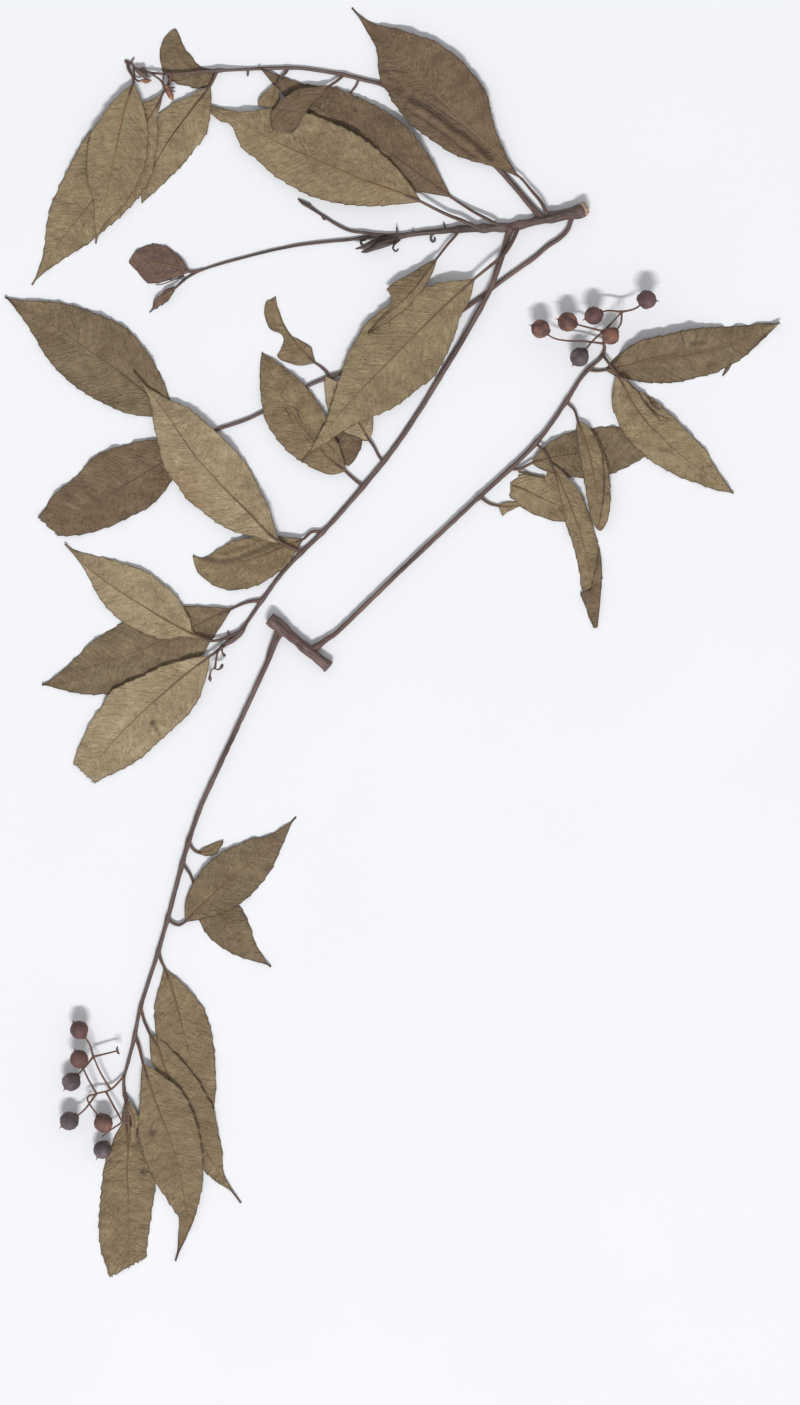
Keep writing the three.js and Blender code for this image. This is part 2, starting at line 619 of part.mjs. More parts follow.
function solidFrom(positions, faces) {
  return new wasm.Manifold(new wasm.Mesh({
    numProp: 3,
    vertProperties: Float32Array.from(positions),
    triVerts: Uint32Array.from(faces),
  }));
}

// A closed solid through rings of the same number of points, with a flat end on each
function sweep(rings) {
  const sides = rings[0].length;
  const faces = [];
  for (let i = 0; i + 1 < rings.length; i++) {
    for (let j = 0; j < sides; j++) {
      const a = i * sides + j;
      const b = i * sides + ((j + 1) % sides);
      faces.push(a, b, b + sides, a, b + sides, a + sides);
    }
  }
  const last = (rings.length - 1) * sides;
  for (let j = 1; j + 1 < sides; j++) {
    faces.push(0, j + 1, j, last, last + j, last + j + 1);
  }
  return solidFrom(rings.flat().flatMap((point) => point.toArray()), faces);
}

function sideOf(ahead) {
  return new THREE.Vector3(-ahead.y, ahead.x, 0).normalize();
}

function roundRing({ at, ahead }, radius, sides) {
  const left = sideOf(ahead);
  const up = ahead.clone().cross(left).normalize();
  return Array.from({ length: sides }, (_, j) => {
    const angle = (2 * Math.PI * (j + 0.5)) / sides;
    const point = at.clone().addScaledVector(left, radius * Math.cos(angle));
    return point.addScaledVector(up, radius * Math.sin(angle));
  });
}

function tube(stations, grow = 0, sides = SHOOT_SIDES) {
  const rings = stations.map((here) => roundRing(here, here.half + grow, sides));
  const ends = [[0, -grow], [stations.length - 1, grow]];
  for (const [index, shift] of ends) {
    rings[index].forEach((point) => point.addScaledVector(stations[index].ahead, shift));
  }
  return sweep(rings);
}

function blade(stations) {
  return sweep(stations.map(({ at, ahead, left, right, half, lift }) => {
    const side = sideOf(ahead);
    const edge = half * EDGE_SHARE;
    const point = (across, height) => at.clone().addScaledVector(side, across).setZ(at.z + height);
    return [
      point(left, lift[0] + edge), point(0, half), point(-right, lift[1] + edge),
      point(-right, lift[1] - edge), point(0, -half), point(left, lift[0] - edge),
    ];
  }));
}

function stalkTube(points, [from, to]) {
  const line = trace(points);
  const steps = Math.max(2, Math.ceil(line.length / FRUIT_STALK_STEP));
  return tube(Array.from({ length: steps + 1 }, (_, i) => {
    const radius = THREE.MathUtils.lerp(from, to, i / steps) / 2;
    return station(line, (line.length * i) / steps, radius, radius, radius);
  }), 0, STALK_SIDES);
}

function berrySolid(radius) {
  const profile = [];
  for (let i = 0; i <= BERRY_ROWS; i++) {
    const angle = (Math.PI * i) / BERRY_ROWS;
    const point = i === BERRY_ROWS ? STYLE_LENGTH : 0;
    profile.push(new THREE.Vector2(radius * Math.sin(angle), -radius * Math.cos(angle) + point));
  }
  profile[0].x = 0;
  profile.at(-1).x = 0;
  const lathe = new THREE.LatheGeometry(profile, BERRY_SIDES);
  lathe.deleteAttribute("normal");
  lathe.deleteAttribute("uv");
  const merged = mergeVertices(lathe, MERGE_WITHIN);
  return solidFrom(merged.attributes.position.array, merged.index.array);
}

// Assembly

const plant = new THREE.Group();
const solids = new Map();

function addMesh(name, solid, finish, position, turn) {
  const { numProp, vertProperties, triVerts } = solid.getMesh();
  const geometry = new THREE.BufferGeometry();
  geometry.setAttribute("position", new THREE.BufferAttribute(new Float32Array(vertProperties), numProp));
  geometry.setIndex(Array.from(triVerts));
  geometry.computeVertexNormals();
  const material = new THREE.MeshStandardMaterial({ ...FINISHES[finish], flatShading: true });
  const mesh = new THREE.Mesh(geometry, material);
  mesh.name = name;
  if (position) {
    mesh.position.copy(position);
  }
  if (turn) {
    mesh.quaternion.copy(turn);
  }
  plant.add(mesh);
}

// The stretch of a shoot near a foot, grown by the gap, that a foot's end is cut back to
function clearance(shootName, foot) {
  const { stations } = laid.find((piece) => piece.name === shootName);
  const near = stations.filter(({ at }) => at.distanceTo(foot) < CUT_REACH);
  return tube(near, GAP);
}

// What is left of a blade on its base's side of the torn line
function tear(solid, [from, to], base) {
  const normal = [from[1] - to[1], to[0] - from[0]];
  const reach = ([x, y]) => x * normal[0] + y * normal[1];
  const towards = Math.sign(reach(base) - reach(from)) / Math.hypot(...normal);
  return solid.trimByPlane([normal[0] * towards, normal[1] * towards, 0], reach(from) * towards);
}

function largestBody(solid) {
  return solid.decompose().reduce((best, body) => (body.volume() > best.volume() ? body : best));
}

for (const piece of LAYERS) {
  const { name, on, fused, finish = "shoot_bark", face } = piece;
  const points = Object.fromEntries(["path", "stalk", "rib", "torn"]
    .filter((key) => piece[key])
    .map((key) => [key, piece[key].map(place)]));
  const start = (points.path ?? points.stalk)[0];
  const foot = on && nearestOn(on, start);
  if (foot) {
    start.splice(0, 2, foot.x, foot.y);
  }
  const stations = face ? leafStations({ ...piece, ...points }) : shootStations({ ...piece, ...points });
  lay(name, stations, on, foot && Math.max(foot.z, stations[0].half));
  let solid = face ? blade(stations) : tube(stations);
  if (fused) {
    solids.get(fused).solid = solids.get(fused).solid.add(solid);
    continue;
  }
  if (points.torn) {
    solid = tear(solid, points.torn, points.rib[0]);
  }
  if (foot) {
    solid = largestBody(solid.subtract(clearance(on, foot)));
  }
  solids.set(name, { solid, finish: face ?? finish });
}

function raisedPoints(points, carrier) {
  return points.map(([px, py, height], i) => {
    const [x, y] = place([px, py]);
    const foot = i === 0 && height === 0 ? nearestOn(carrier, [x, y]) : new THREE.Vector3(x, y, height);
    return foot.toArray();
  });
}

function sphereRoom(centre, radius) {
  const ball = new THREE.SphereGeometry(radius, 2 * BERRY_SIDES, 2 * BERRY_ROWS);
  ball.deleteAttribute("normal");
  ball.deleteAttribute("uv");
  const merged = mergeVertices(ball.translate(centre.x, centre.y, centre.z), MERGE_WITHIN);
  return solidFrom(merged.attributes.position.array, merged.index.array);
}

for (const [name, { on, lines }] of Object.entries(FRUIT_STALKS)) {
  let solid;
  for (const line of lines) {
    const stalk = stalkTube(raisedPoints(line, on), FRUIT_STALK_THICK);
    solid = solid ? solid.add(stalk) : stalk;
  }
  solid = solid.subtract(clearance(on, nearestOn(on, place(lines[0][0]))));
  solids.set(name, { solid, finish: "shoot_bark" });
}

for (const { name, at, radius, from } of BERRIES) {
  const centre = new THREE.Vector3(...place(at), at[2]);
  const ahead = centre.clone().sub(new THREE.Vector3(...place(from), from[2])).normalize();
  const turn = new THREE.Quaternion().setFromUnitVectors(new THREE.Vector3(0, 1, 0), ahead);
  const room = sphereRoom(centre, radius + BERRY_GAP);
  for (const stalks of Object.keys(FRUIT_STALKS)) {
    solids.get(stalks).solid = solids.get(stalks).solid.subtract(room);
  }
  addMesh(name, berrySolid(radius), "berry_skin", centre, turn);
}

for (const [name, { solid, finish }] of solids) {
  addMesh(name, solid, finish);
}

export default plant;
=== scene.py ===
import math
from dataclasses import dataclass

import bmesh
import bpy
import numpy as np
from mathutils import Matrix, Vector
from mathutils.bvhtree import BVHTree


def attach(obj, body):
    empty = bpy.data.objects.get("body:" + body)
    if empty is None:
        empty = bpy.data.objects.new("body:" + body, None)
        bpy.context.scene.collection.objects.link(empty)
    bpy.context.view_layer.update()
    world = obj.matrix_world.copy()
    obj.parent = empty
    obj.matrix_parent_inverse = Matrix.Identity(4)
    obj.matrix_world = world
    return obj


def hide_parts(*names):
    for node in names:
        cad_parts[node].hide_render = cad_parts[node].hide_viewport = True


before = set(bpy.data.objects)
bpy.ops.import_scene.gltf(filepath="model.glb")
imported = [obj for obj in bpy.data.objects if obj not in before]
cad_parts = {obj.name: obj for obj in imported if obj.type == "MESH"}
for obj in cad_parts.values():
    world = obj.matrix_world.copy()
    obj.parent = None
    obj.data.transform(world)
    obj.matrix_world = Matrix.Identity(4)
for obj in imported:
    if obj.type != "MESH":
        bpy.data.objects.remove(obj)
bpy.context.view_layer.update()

# Places are read in pixels of the photograph, and lengths are in millimetres until a mesh is made. The
# camera, the light, the ground and the materials are in metres.
MM = 0.001
PIXELS_PER_MM = 2.65
ORIGIN_PIXEL = (391.96, 642.14)
IMAGE_SIZE = (800, 1405)

CAMERA_HEIGHT = 2.6
GROUND_REACH = 3
SKY_STRENGTH = 0.53
STRIP_SIZE = (3.8, 0.7)
STRIP_POWER = 1165
STRIP_DISTANCE = 12
LIGHT_LEAN = 37  # degrees from upright, towards the foot of the photograph

LOWEST = 0.04  # an underside over the ground
CURVE_STEPS = 40  # between two points that a curve goes through

BLADE_STEP = 0.55
BLADE_COLUMNS = 25
FINE_COLUMNS = 61  # where a leaf has ridges or stains
BLADE_THICKNESS = 0.3
MARGIN_THICKNESS = 0.16
TIP_HALF_WIDTH = 0.36
FOOT_HALF_WIDTH = 0.55
FOOT_SHARE = 1 / 12  # of the rib, over which the foot narrows to nothing
READ_SPAN = (0.03, 0.97)  # shares of the rib between which places on the outline count
LEAST_OUT = 0.2  # how far from the rib such a place is at least
LEAST_RATIO = 0.3  # of a half width that they correct
RATIO_SOFTENING = 1.5
HEIGHT_STEP = 2  # between the rows in which the height of a leaf's solid is read
HEIGHT_COLUMNS = 7
WAVES = ((0.24, 15), (0.11, 5))  # height and spacing
MARGIN_WAVE_SPACING = 8
DROOP_POWER = 1.3
TOOTH_SPACING = (3.4, 5.6)
TOOTH_DEPTH = (0.25, 0.6)
TOOTH_POWER = 2.2  # how late a tooth rises to its point
TOOTH_SINK = 0.3  # the share of its depth by which it starts inside the margin
TOOTHED_SPAN = (0.1, 0.93)  # shares of the rib between which a margin has teeth
TOOTHED_HALF_WIDTH = 5  # below it the teeth get smaller
TORN_ROUGHNESS = 0.5
STALK_RADII = (0.25, 0.019)  # the thinnest, and what each millimetre of a leaf's width adds
JOINT_REACH = 2.6  # how far a stalk's foot may be from its shoot's centre line
RIB_RADII = {"under": (0.34, 0.1), "upper": (0.26, 0.1)}  # what thins out towards the tip, and what stays
RIB_RISE = {"under": 0.45, "upper": 0.25}  # in radii over the blade
RIB_POWER = 1.2  # how soon it thins out
RIB_END = 0.96  # the share of the blade after which the rib is lost in it
RIB_SIDES = 8
STALK_SHARE = 0.07  # of the rib, which has the stalk's skin
SPOT_STEP = 0.8  # along a ridge or a stain
CREASE_SIDES = 6
CREASE_FLATNESS = 0.4
CREASE_END_ANGLE = 0.35  # of the sine that it swells and thins by
VEIN_SPACING = 4.8

SHOOT_STEP = 0.6
SHOOT_SIDES = 20
SHOOT_UNEVENNESS = 0.05
SHOOT_ENDS = (0.8, 0.6)  # shares of the width at the foot and the tip
NODE_SWELL = 0.28  # the share that a shoot swells by where a leaf leaves it
NODE_REACH = 1.8
FOOT_REACH = 2.5  # how far a leaf's foot may be from its shoot's path
LUMP_SIZE = 6
FLUTE_SIZE = 2.5
FLUTE_STRETCH = 0.15
RAISED = {"down_shoot": 0.9, "right_shoot": 0.9}  # how far the middle of a shoot stands above its ends
RAISED_REACH = 12
FRUIT_STALK_RADII = (0.42, 0.29)
FRUIT_STALK_FOOT = (1.3, 1.2, 1.1)  # shares of the radius at the first points
FRUIT_STALK_TIP = (1.1, 1.25, 1.2)
FRUIT_STALK_SIDES = 10
FRUIT_STALK_DEPTH = 0.6  # the share of its shoot's height that it starts at

BERRY_SWELL = 1.05
BERRY_ROWS = 28
BERRY_SIDES = 44
BERRY_DENTS = ((0.02, 4), (0.012, 1.6))  # shares of the radius, and sizes
BERRY_POINT = (0.7, 0.1)  # height, and reach in radians
BERRY_DIMPLE = (0.06, 0.3)  # share of the radius, and reach in radians
BERRY_LOBE = ((0.3, 0.99), (1.0, 0.97), (1.7, 0.86))  # a sepal's distances out, and its depths in radii
FALLEN_LOBE = ((0.1, 0), (0.9, 0.1), (1.7, 0.5))  # a sepal's distances out and heights, from foot to tip
SEPALS = 5
SEPAL_TURN = 0.2  # in radians, that a sepal may be off its place
HUSK_SIDES = 6
SEPAL_RADII = (0.4, 0.42, 0.12)
SPIKE_RADII = (0.34, 0.19, 0.11)

# First seeds. A leaf's own seed is its place in LEAVES.
PART_SEED = 500
SHOOT_SEED = 1000
BERRY_SEED = 2000
CALYX_SEED = 3000


@dataclass
class Leaf:
    """A leaf, whose lines and spots are places in pixels, read from the photograph.

    Most values of wide, peak and taper are rounded from a least squares fit to places read on the outline.
    The rest were set one by one.
    """

    stalk: list  # from its shoot to just before the blade, or empty
    rib: list  # from the foot of the blade to its tip
    tone: str  # one of BLADE_TONES
    face: str = "under"  # the side that is seen
    rib_tone: str = ""  # one of RIB_TONES, where its face doesn't say it
    wide: tuple = (8, 8)  # half widths left and right of the rib
    peak: float = 0.5  # where along the rib it is widest
    taper: float = 2  # how fast it narrows towards both ends
    margin: tuple = ()  # places on the outline that correct the half widths
    loose: float = 1.5  # how many times wider they may make it
    edges: tuple = ()  # or else its left and right margins themselves
    torn: tuple = ()  # two places on the line where it is torn off
    fold: float = 0  # how far the margins rise, or the rib where it is negative
    droop: tuple = ()  # how far the left and right margins hang down
    lift: float = 0
    rough: float = 0.3  # height of the waves at the margins
    ridges: tuple = ()  # each has its spots, its height and its reach
    # These darken the blade in its margin's colour: some are real stains, some painted shade along folds
    # and midribs.
    stains_and_shade: tuple = ()  # each has its spots, its depth, which is negative where it is pale, and its reach
    # Creases are dark lines at sharp folds, partly painted shade in the folds.
    creases: tuple = ()  # each has its path and its radius
    bare: bool = False  # whether it goes without its rib
    part_of: str = ""  # the larger piece that it belongs to


LEAVES = {
    "leaf_under_2": Leaf(
        stalk=[(352, 368), (353, 374)], rib=[(353, 380), (353, 410), (352, 442), (348, 466)],
        tone="umber", face="upper", wide=(4.5, 8), peak=0.5, taper=1.3,
    ),
    "leaf_top_3": Leaf(
        stalk=[(219, 71)], rib=[(216, 71), (196, 70), (181, 58), (175, 29)],
        tone="dull", wide=(8.2, 3.6), peak=0.5, taper=1.25,
        margin=[(205, 68), (191, 55), (182, 42), (165, 38), (160, 50), (161, 65), (165, 75), (173, 82),
            (187, 86), (199, 88), (208, 87)],
    ),
    "leaf_twig_1": Leaf(
        stalk=[(203, 270), (197, 271.5)], rib=[(190, 272), (172, 266), (150, 262), (129, 262)],
        tone="russet", wide=(8.2, 7), peak=0.57, taper=1.9,
        margin=[(134.4, 269.3), (144.6, 281.3), (164.3, 281.8), (180.4, 276)],
        stains_and_shade=[([(147, 272.5), (158, 273.5), (170, 272), (185, 270)], 0.5, 0.5)],
    ),
    "young_leaf_twig": Leaf(
        stalk=[(185, 279), (180, 284)], rib=[(176, 288), (162.5, 298), (157, 304), (149.5, 313)],
        tone="russet", part_of="main_stem",
        edges=([(175.5, 288.5), (175.2, 291), (171.5, 296.5), (168.5, 301.5), (165, 303.5), (162.5, 306),
            (160, 305.3), (157.5, 309), (154.5, 309.3), (150, 313)],
            [(174.5, 287), (168, 288.5), (164.5, 290.5), (161.5, 295), (158, 296.5), (154.5, 299.5),
            (153, 304), (152.5, 308.5), (149.3, 312.7)]),
    ),
    "leaf_trunk_1": Leaf(
        stalk=[(549, 218), (541, 203), (532, 192)],
        rib=[(523, 181), (513, 171), (503, 159.5), (494, 150), (480, 138), (468, 127.5), (452, 110),
            (438.5, 97.5), (427, 84), (414, 70), (403, 61), (388, 45), (372, 31), (352, 8)],
        tone="umber", face="upper", rib_tone="pale", wide=(15.5, 15.4), peak=0.45, taper=3.3, loose=4,
        margin=[(378, 25), (417, 36), (436, 43), (462, 62), (477, 79), (490, 107), (500, 143), (508, 161),
            (512, 166.7), (518.7, 174), (506, 172), (494, 168), (372, 40), (377, 55), (378, 72),
            (385, 90), (394, 104), (402, 115), (419, 132), (441, 147), (458, 157), (481, 164)],
        ridges=[([(380, 75), (394, 74), (407, 76)], 0.5, 0.6), ([(386, 82), (399, 85)], 0.5, 0.6),
            ([(409, 104), (422, 112), (436, 121), (450, 132), (466, 143), (489, 163)], 1.2, 1.5),
            ([(416, 93), (436, 103), (456, 118), (470, 131)], 0.6, 1.1)],
        # These stains are painted shade along the folds beside the ridges.
        stains_and_shade=[([(412, 100), (425, 108), (438.5, 116), (452, 127.5), (468, 138), (480, 148),
            (491, 159.5)], 0.55, 1.5),
            ([(405, 109), (436, 129.5), (466, 152.5), (477.5, 159.5)], 0.4, 1),
            ([(384, 87), (397, 90), (399, 95)], 0.4, 1.3)],
        creases=[([(414.5, 96.5), (429, 103.5), (445.5, 115), (462.5, 126.5), (475, 136.5)], 0.26),
            ([(410, 96), (425, 106), (440, 117), (456, 129.5)], 0.3),
            ([(404, 108.5), (420, 118.5), (436, 129.5), (452, 141), (466, 152.5), (477.5, 159.5)], 0.24),
            ([(378.5, 73), (385, 71.7), (393.5, 72), (407.5, 74)], 0.26),
            ([(387, 79), (399.5, 82.5)], 0.2)],
    ),
    "leaf_trunk_2": Leaf(
        stalk=[(502, 227), (488, 220), (475, 213), (464, 206)],
        rib=[(452, 198), (415, 172), (381, 148), (348, 128), (312, 104), (283, 86.5), (258.5, 67.2)],
        tone="umber", face="upper", wide=(11, 12.6), peak=0.48, taper=2.4, loose=4,
        margin=[(428, 155), (399, 121), (366, 101), (333, 87), (310, 84.8), (301, 83), (294, 81),
            (281, 75.5), (262, 68), (412, 191), (399, 176), (387, 157), (366, 144), (346, 131),
            (306, 113), (283, 96), (279.5, 90), (274.8, 86.4)],
        ridges=[([(256, 66), (268, 75)], 1.3, 3)],
    ),
    "leaf_top_2": Leaf(
        stalk=[(287.2, 71), (281, 78)], rib=[(276.5, 85), (273.8, 94.6), (271, 104.8), (271.3, 111)],
        tone="olive",
        edges=([(277, 85), (280.8, 97.2), (278.3, 102.9), (271.9, 111)],
            [(276, 84.8), (267.4, 90.2), (261, 95.9), (257.5, 102.3), (258.2, 106.4), (268.7, 107.5),
            (271, 111)]),
    ),
    "leaf_trunk_3": Leaf(
        stalk=[(484, 230), (462, 221), (449, 216), (437, 210.5)],
        rib=[(422, 203), (399, 194), (357, 179), (316, 161), (273, 141), (240, 123), (226, 116),
            (212, 110), (199, 104.5)],
        tone="khaki", rib_tone="red", wide=(12.9, 16), peak=0.47, taper=2.3, loose=4, fold=-0.7,
        margin=[(270, 108), (306, 113), (333, 124), (366, 142), (391, 163), (409, 184), (239, 112.5),
            (228.5, 110), (212, 106), (211, 114), (222, 123.3), (227, 122), (233.5, 129), (236, 137),
            (241, 147), (246, 153), (255, 158), (273, 175), (290, 186), (310, 197), (350, 206),
            (410, 204)],
        stains_and_shade=[([(317, 168), (313, 171)], 0.45, 1.2)],
    ),
    "leaf_top_1": Leaf(
        stalk=[(344, 76), (337, 81.5)],
        rib=[(328.6, 87), (319.7, 95.9), (310.2, 104.2), (303.1, 114.4), (299.3, 119.5), (294.8, 129),
            (292.5, 132.5)],
        tone="umber",
        edges=([(330, 87.5), (321.5, 97), (312, 106), (305, 115.5), (301, 121), (296.5, 129.5),
            (293, 133)],
            [(328, 86), (313.3, 87.6), (300.6, 88.9), (294.2, 91.5), (285.9, 97.8), (280.8, 99.7),
            (274.4, 109.3), (270.9, 112.5), (270.6, 120.2), (271.3, 129.1), (279.5, 133.5),
            (292, 133.3)]),
        creases=[([(273, 111), (280, 110), (288, 112), (296, 112.5), (302, 114.5)], 0.16)],
    ),
    "leaf_top_4": Leaf(
        stalk=[(217, 72), (214, 79)], rib=[(210, 87), (191, 111), (172, 136), (156, 163), (142, 203)],
        tone="khaki", rib_tone="dark", wide=(10.6, 8.9), peak=0.45, taper=1.9,
        margin=[(211, 107), (207, 134), (193, 151), (178, 170), (191, 96), (172, 104), (159, 115)],
        stains_and_shade=[([(201, 136), (195, 147)], -0.9, 1.1)],
    ),
    "leaf_top_5": Leaf(
        stalk=[(172, 74), (169, 84)],
        rib=[(164, 92), (157, 107), (147, 122), (115, 170), (89, 205), (63, 238), (45, 264), (32, 285)],
        tone="khaki", wide=(13.4, 14.6), peak=0.44, taper=2.7,
        margin=[(158, 115), (158, 134), (156, 155), (154, 172), (116, 221), (107, 228), (95, 239),
            (79, 250), (66, 258), (46, 272), (142, 104), (90, 132), (76, 155), (67, 172), (55, 197),
            (50, 207), (46, 230), (41, 262)],
    ),
    "leaf_top_6": Leaf(
        stalk=[(127, 61), (129, 70), (133, 77)],
        rib=[(134, 83), (126, 107), (119, 138), (113, 165), (107, 195), (99, 220), (96, 244)],
        tone="khaki", rib_tone="red", wide=(12.1, 10.6), peak=0.43, taper=2.7,
        margin=[(119, 96), (104, 115), (92, 132), (87, 165), (88, 184), (94, 214), (140, 96), (145, 113),
            (148, 134), (148, 153), (143, 174)],
    ),
    "leaf_under_1": Leaf(
        stalk=[(330.5, 376), (325.6, 371.2), (319, 365.5)],
        rib=[(313.6, 362.3), (303.3, 351.7), (297, 344.6), (291.8, 337.8), (286, 330), (281.2, 320),
            (277.8, 310), (275.4, 297)],
        tone="olive",
        edges=([(313, 363.5), (306.9, 365), (301.6, 365.9), (296.2, 365.4), (286.4, 362.3), (281, 360.6),
            (276.7, 356), (280.2, 350.8), (282.9, 343.7), (283.8, 339.2), (282, 334.8), (278.4, 332.6),
            (273, 331.2), (269, 328), (266, 321.4), (264, 313.4), (264.7, 306.3), (267, 301.4),
            (274.4, 297)],
            [(315.5, 361.5), (313, 353.4), (312, 348.6), (306.9, 343.7), (299.8, 340), (292.7, 337),
            (288.2, 331), (283.3, 322.3), (280.7, 315), (277.6, 307), (275.8, 296.5)]),
    ),
    "leaf_long_1": Leaf(
        stalk=[(380, 458), (374, 447)],
        rib=[(369, 440), (360, 424.5), (349, 411), (336, 393), (325, 376)],
        tone="pale", wide=(6, 8), peak=0.42, taper=1.8,
        margin=[(373, 419), (344, 432.5), (353, 438.3), (364, 443)],
        creases=[([(343.5, 431.8), (348.2, 434.9), (356.2, 437.6), (363.3, 440.2), (367.8, 441)], 0.42)],
    ),
    "leaf_long_2": Leaf(
        stalk=[(360, 484), (352, 477.5)],
        rib=[(345, 471), (331, 461), (319.5, 448.5), (306, 432.5), (288, 407), (276, 386), (262, 353)],
        tone="olive", wide=(10.4, 10.6), peak=0.44, taper=1.6, fold=-0.9,
        margin=[(260, 381), (261, 399), (265, 420), (276, 438), (288, 452), (302, 462), (322, 472.5),
            (333, 474.5), (272, 359), (288, 370), (302, 382), (311, 393), (327, 418), (334.5, 437.5),
            (341.5, 451)],
        creases=[([(281, 403), (287, 411), (290, 418), (296, 428)], 0.16),
            ([(290, 405), (297, 411), (300, 419), (306, 428)], 0.18), ([(304, 436), (311, 444)], 0.16),
            ([(296, 408), (303, 415)], 0.14),
            ([(326, 443), (329, 446.5), (333.5, 449.5), (333.5, 453.5)], 0.2)],
    ),
    "leaf_trunk_4": Leaf(
        stalk=[(519, 225), (514, 238), (509, 247.5), (502, 257), (491, 266)],
        rib=[(476, 278), (436, 315), (388, 363), (344, 409), (302, 463)],
        tone="khaki", wide=(15.9, 15.4), peak=0.41, taper=3.2,
        margin=[(445, 282), (420, 291), (388, 306), (365, 325), (356, 340), (347, 356), (333, 399),
            (326, 422), (317, 438), (472, 293), (461, 315), (456, 334), (449, 350), (433, 379),
            (419, 388), (409, 397), (392, 409), (372, 418), (356, 424), (340, 434), (324, 447)],
    ),
    "leaf_trunk_5": Leaf(
        stalk=[(459, 231), (446, 247)],
        rib=[(436, 260), (429, 270), (414, 290), (398, 306), (380, 322), (368, 334)],
        tone="olive", face="upper", droop=(0, 2.2),
        edges=([(437, 261), (433, 273), (423, 292), (408, 309), (387, 324), (369, 335)],
            [(435, 259.5), (422, 266.5), (408, 275.5), (394, 283), (386, 290), (388.5, 292.5), (391, 297),
            (390.5, 304), (389.5, 308), (386, 312), (378, 318), (372, 328), (367.5, 333.5)]),
    ),
    "leaf_under_3": Leaf(
        stalk=[(198, 438), (188, 434)],
        rib=[(177, 421), (168, 412), (148, 395), (120, 372), (88, 350), (60, 330), (5, 297)],
        tone="dull", face="upper", wide=(14.4, 14.2), peak=0.47, taper=2.5, fold=0.6,
        margin=[(20, 300), (45, 301), (92, 312), (125, 327), (147, 352), (27, 325), (43, 352), (62, 375),
            (80, 390), (105, 404), (128, 414), (150, 417)],
    ),
    "leaf_under_4": Leaf(
        stalk=[(193, 440.5), (190, 445)],
        rib=[(186, 449), (160, 464), (125, 485), (98, 502), (70, 513), (44, 521), (20, 526)],
        tone="umber", face="upper", wide=(12, 14.9), peak=0.42, taper=1.7, fold=0.7,
        torn=[(39, 517), (59, 536)],
        margin=[(38.7, 517), (50, 499), (78, 475), (95, 456), (125, 445), (155, 440), (60, 536),
            (80, 535), (105, 528), (130, 517), (150, 507), (165, 492), (172, 480)],
    ),
    "leaf_long_3": Leaf(
        stalk=[(321, 532), (312, 532)],
        rib=[(304, 539), (275, 551), (250, 560), (225, 565), (204, 562), (193, 556)],
        tone="olive", wide=(10.6, 8.4), peak=0.54, taper=2,
        margin=[(287, 566), (275, 575), (245, 589), (227, 590), (211, 584), (195, 567), (202, 558),
            (216, 550), (230, 542), (248, 538)],
        ridges=[([(205, 553), (224, 556), (246, 549), (266, 540)], 0.7, 1.1)],
        # This stain is painted shade in the fold along the midrib.
        stains_and_shade=[([(203, 557), (222, 561.5), (246, 555.5), (270, 545.5), (284, 541)], 0.6, 1.1)],
    ),
    "leaf_long_4": Leaf(
        stalk=[(302, 553), (292, 548)],
        rib=[(283, 544), (272, 537), (250, 514), (221, 485), (193, 453), (168, 416), (134, 372)],
        tone="pale", wide=(13, 12.6), peak=0.43, taper=2.7, fold=-1.1,
        margin=[(164, 397), (189, 408), (200, 417), (229, 444), (250, 469), (262, 494), (273, 519),
            (143, 382), (149, 398), (153, 423), (159, 447), (164, 467), (179, 487), (186, 499),
            (202, 511), (237, 533), (257, 538)],
    ),
    "leaf_long_5": Leaf(
        stalk=[(263, 600), (248, 602)], rib=[(233, 608), (194, 627), (143, 650), (98, 665), (42, 685)],
        tone="dull", wide=(13.6, 12.2), peak=0.48, taper=2.4, fold=0.4,
        margin=[(193, 606), (122, 623), (102, 635), (88, 645), (67, 666), (53, 678), (61, 691),
            (106, 694), (224, 622), (212, 640), (204, 653)],
    ),
    "leaf_long_6": Leaf(
        stalk=[(242, 630), (229.5, 636), (219, 640)],
        rib=[(212, 641), (192, 634), (171, 623), (143, 606), (112, 586), (88, 568), (65, 544)],
        tone="pale", wide=(9.4, 12), peak=0.48, taper=3.2, fold=-0.8,
        margin=[(85, 553), (122, 563), (143, 570), (163, 584), (178, 598), (190, 619), (193, 631),
            (82, 566), (98, 596), (122, 622), (139, 631), (167, 640), (184, 637)],
    ),
    "leaf_long_7": Leaf(
        stalk=[(224, 645), (217, 651.5)],
        rib=[(209, 657), (184, 676), (163, 694), (133, 721), (112, 743), (92, 768), (75, 795)],
        tone="pale", wide=(13.2, 12.9), peak=0.47, taper=1.65, fold=0.8,
        torn=[(75, 764), (95, 782.5)],
        margin=[(184, 660), (163, 666), (143, 676), (110, 692), (100, 709), (90, 723), (82, 741),
            (75, 757), (208, 674), (200, 698), (188, 715), (173, 729), (155, 745), (143, 757), (122, 770),
            (100, 780)],
        stains_and_shade=[([(153, 723)], 1.0, 1.3), ([(153, 723), (157, 730), (160, 735)], 0.6, 0.9)],
    ),
    "young_leaf_down": Leaf(
        stalk=[(189, 842), (194, 850)], rib=[(199, 853), (211, 850), (223, 841)],
        tone="olive", part_of="down_shoot",
        edges=([(198, 851.5), (205, 847), (211, 843.8), (218, 841.3), (223.4, 840.3)],
            [(198.5, 854), (206, 856.3), (213, 855.5), (216.8, 853.7), (220.5, 848), (222.8, 844.5),
            (223.6, 840.6)]),
    ),
    "leaf_down_1": Leaf(
        stalk=[(182, 864), (190, 874)], rib=[(193, 882), (207, 900), (222, 917), (245, 943), (271, 967)],
        tone="dull", wide=(7.8, 8.8), peak=0.43, taper=2.6,
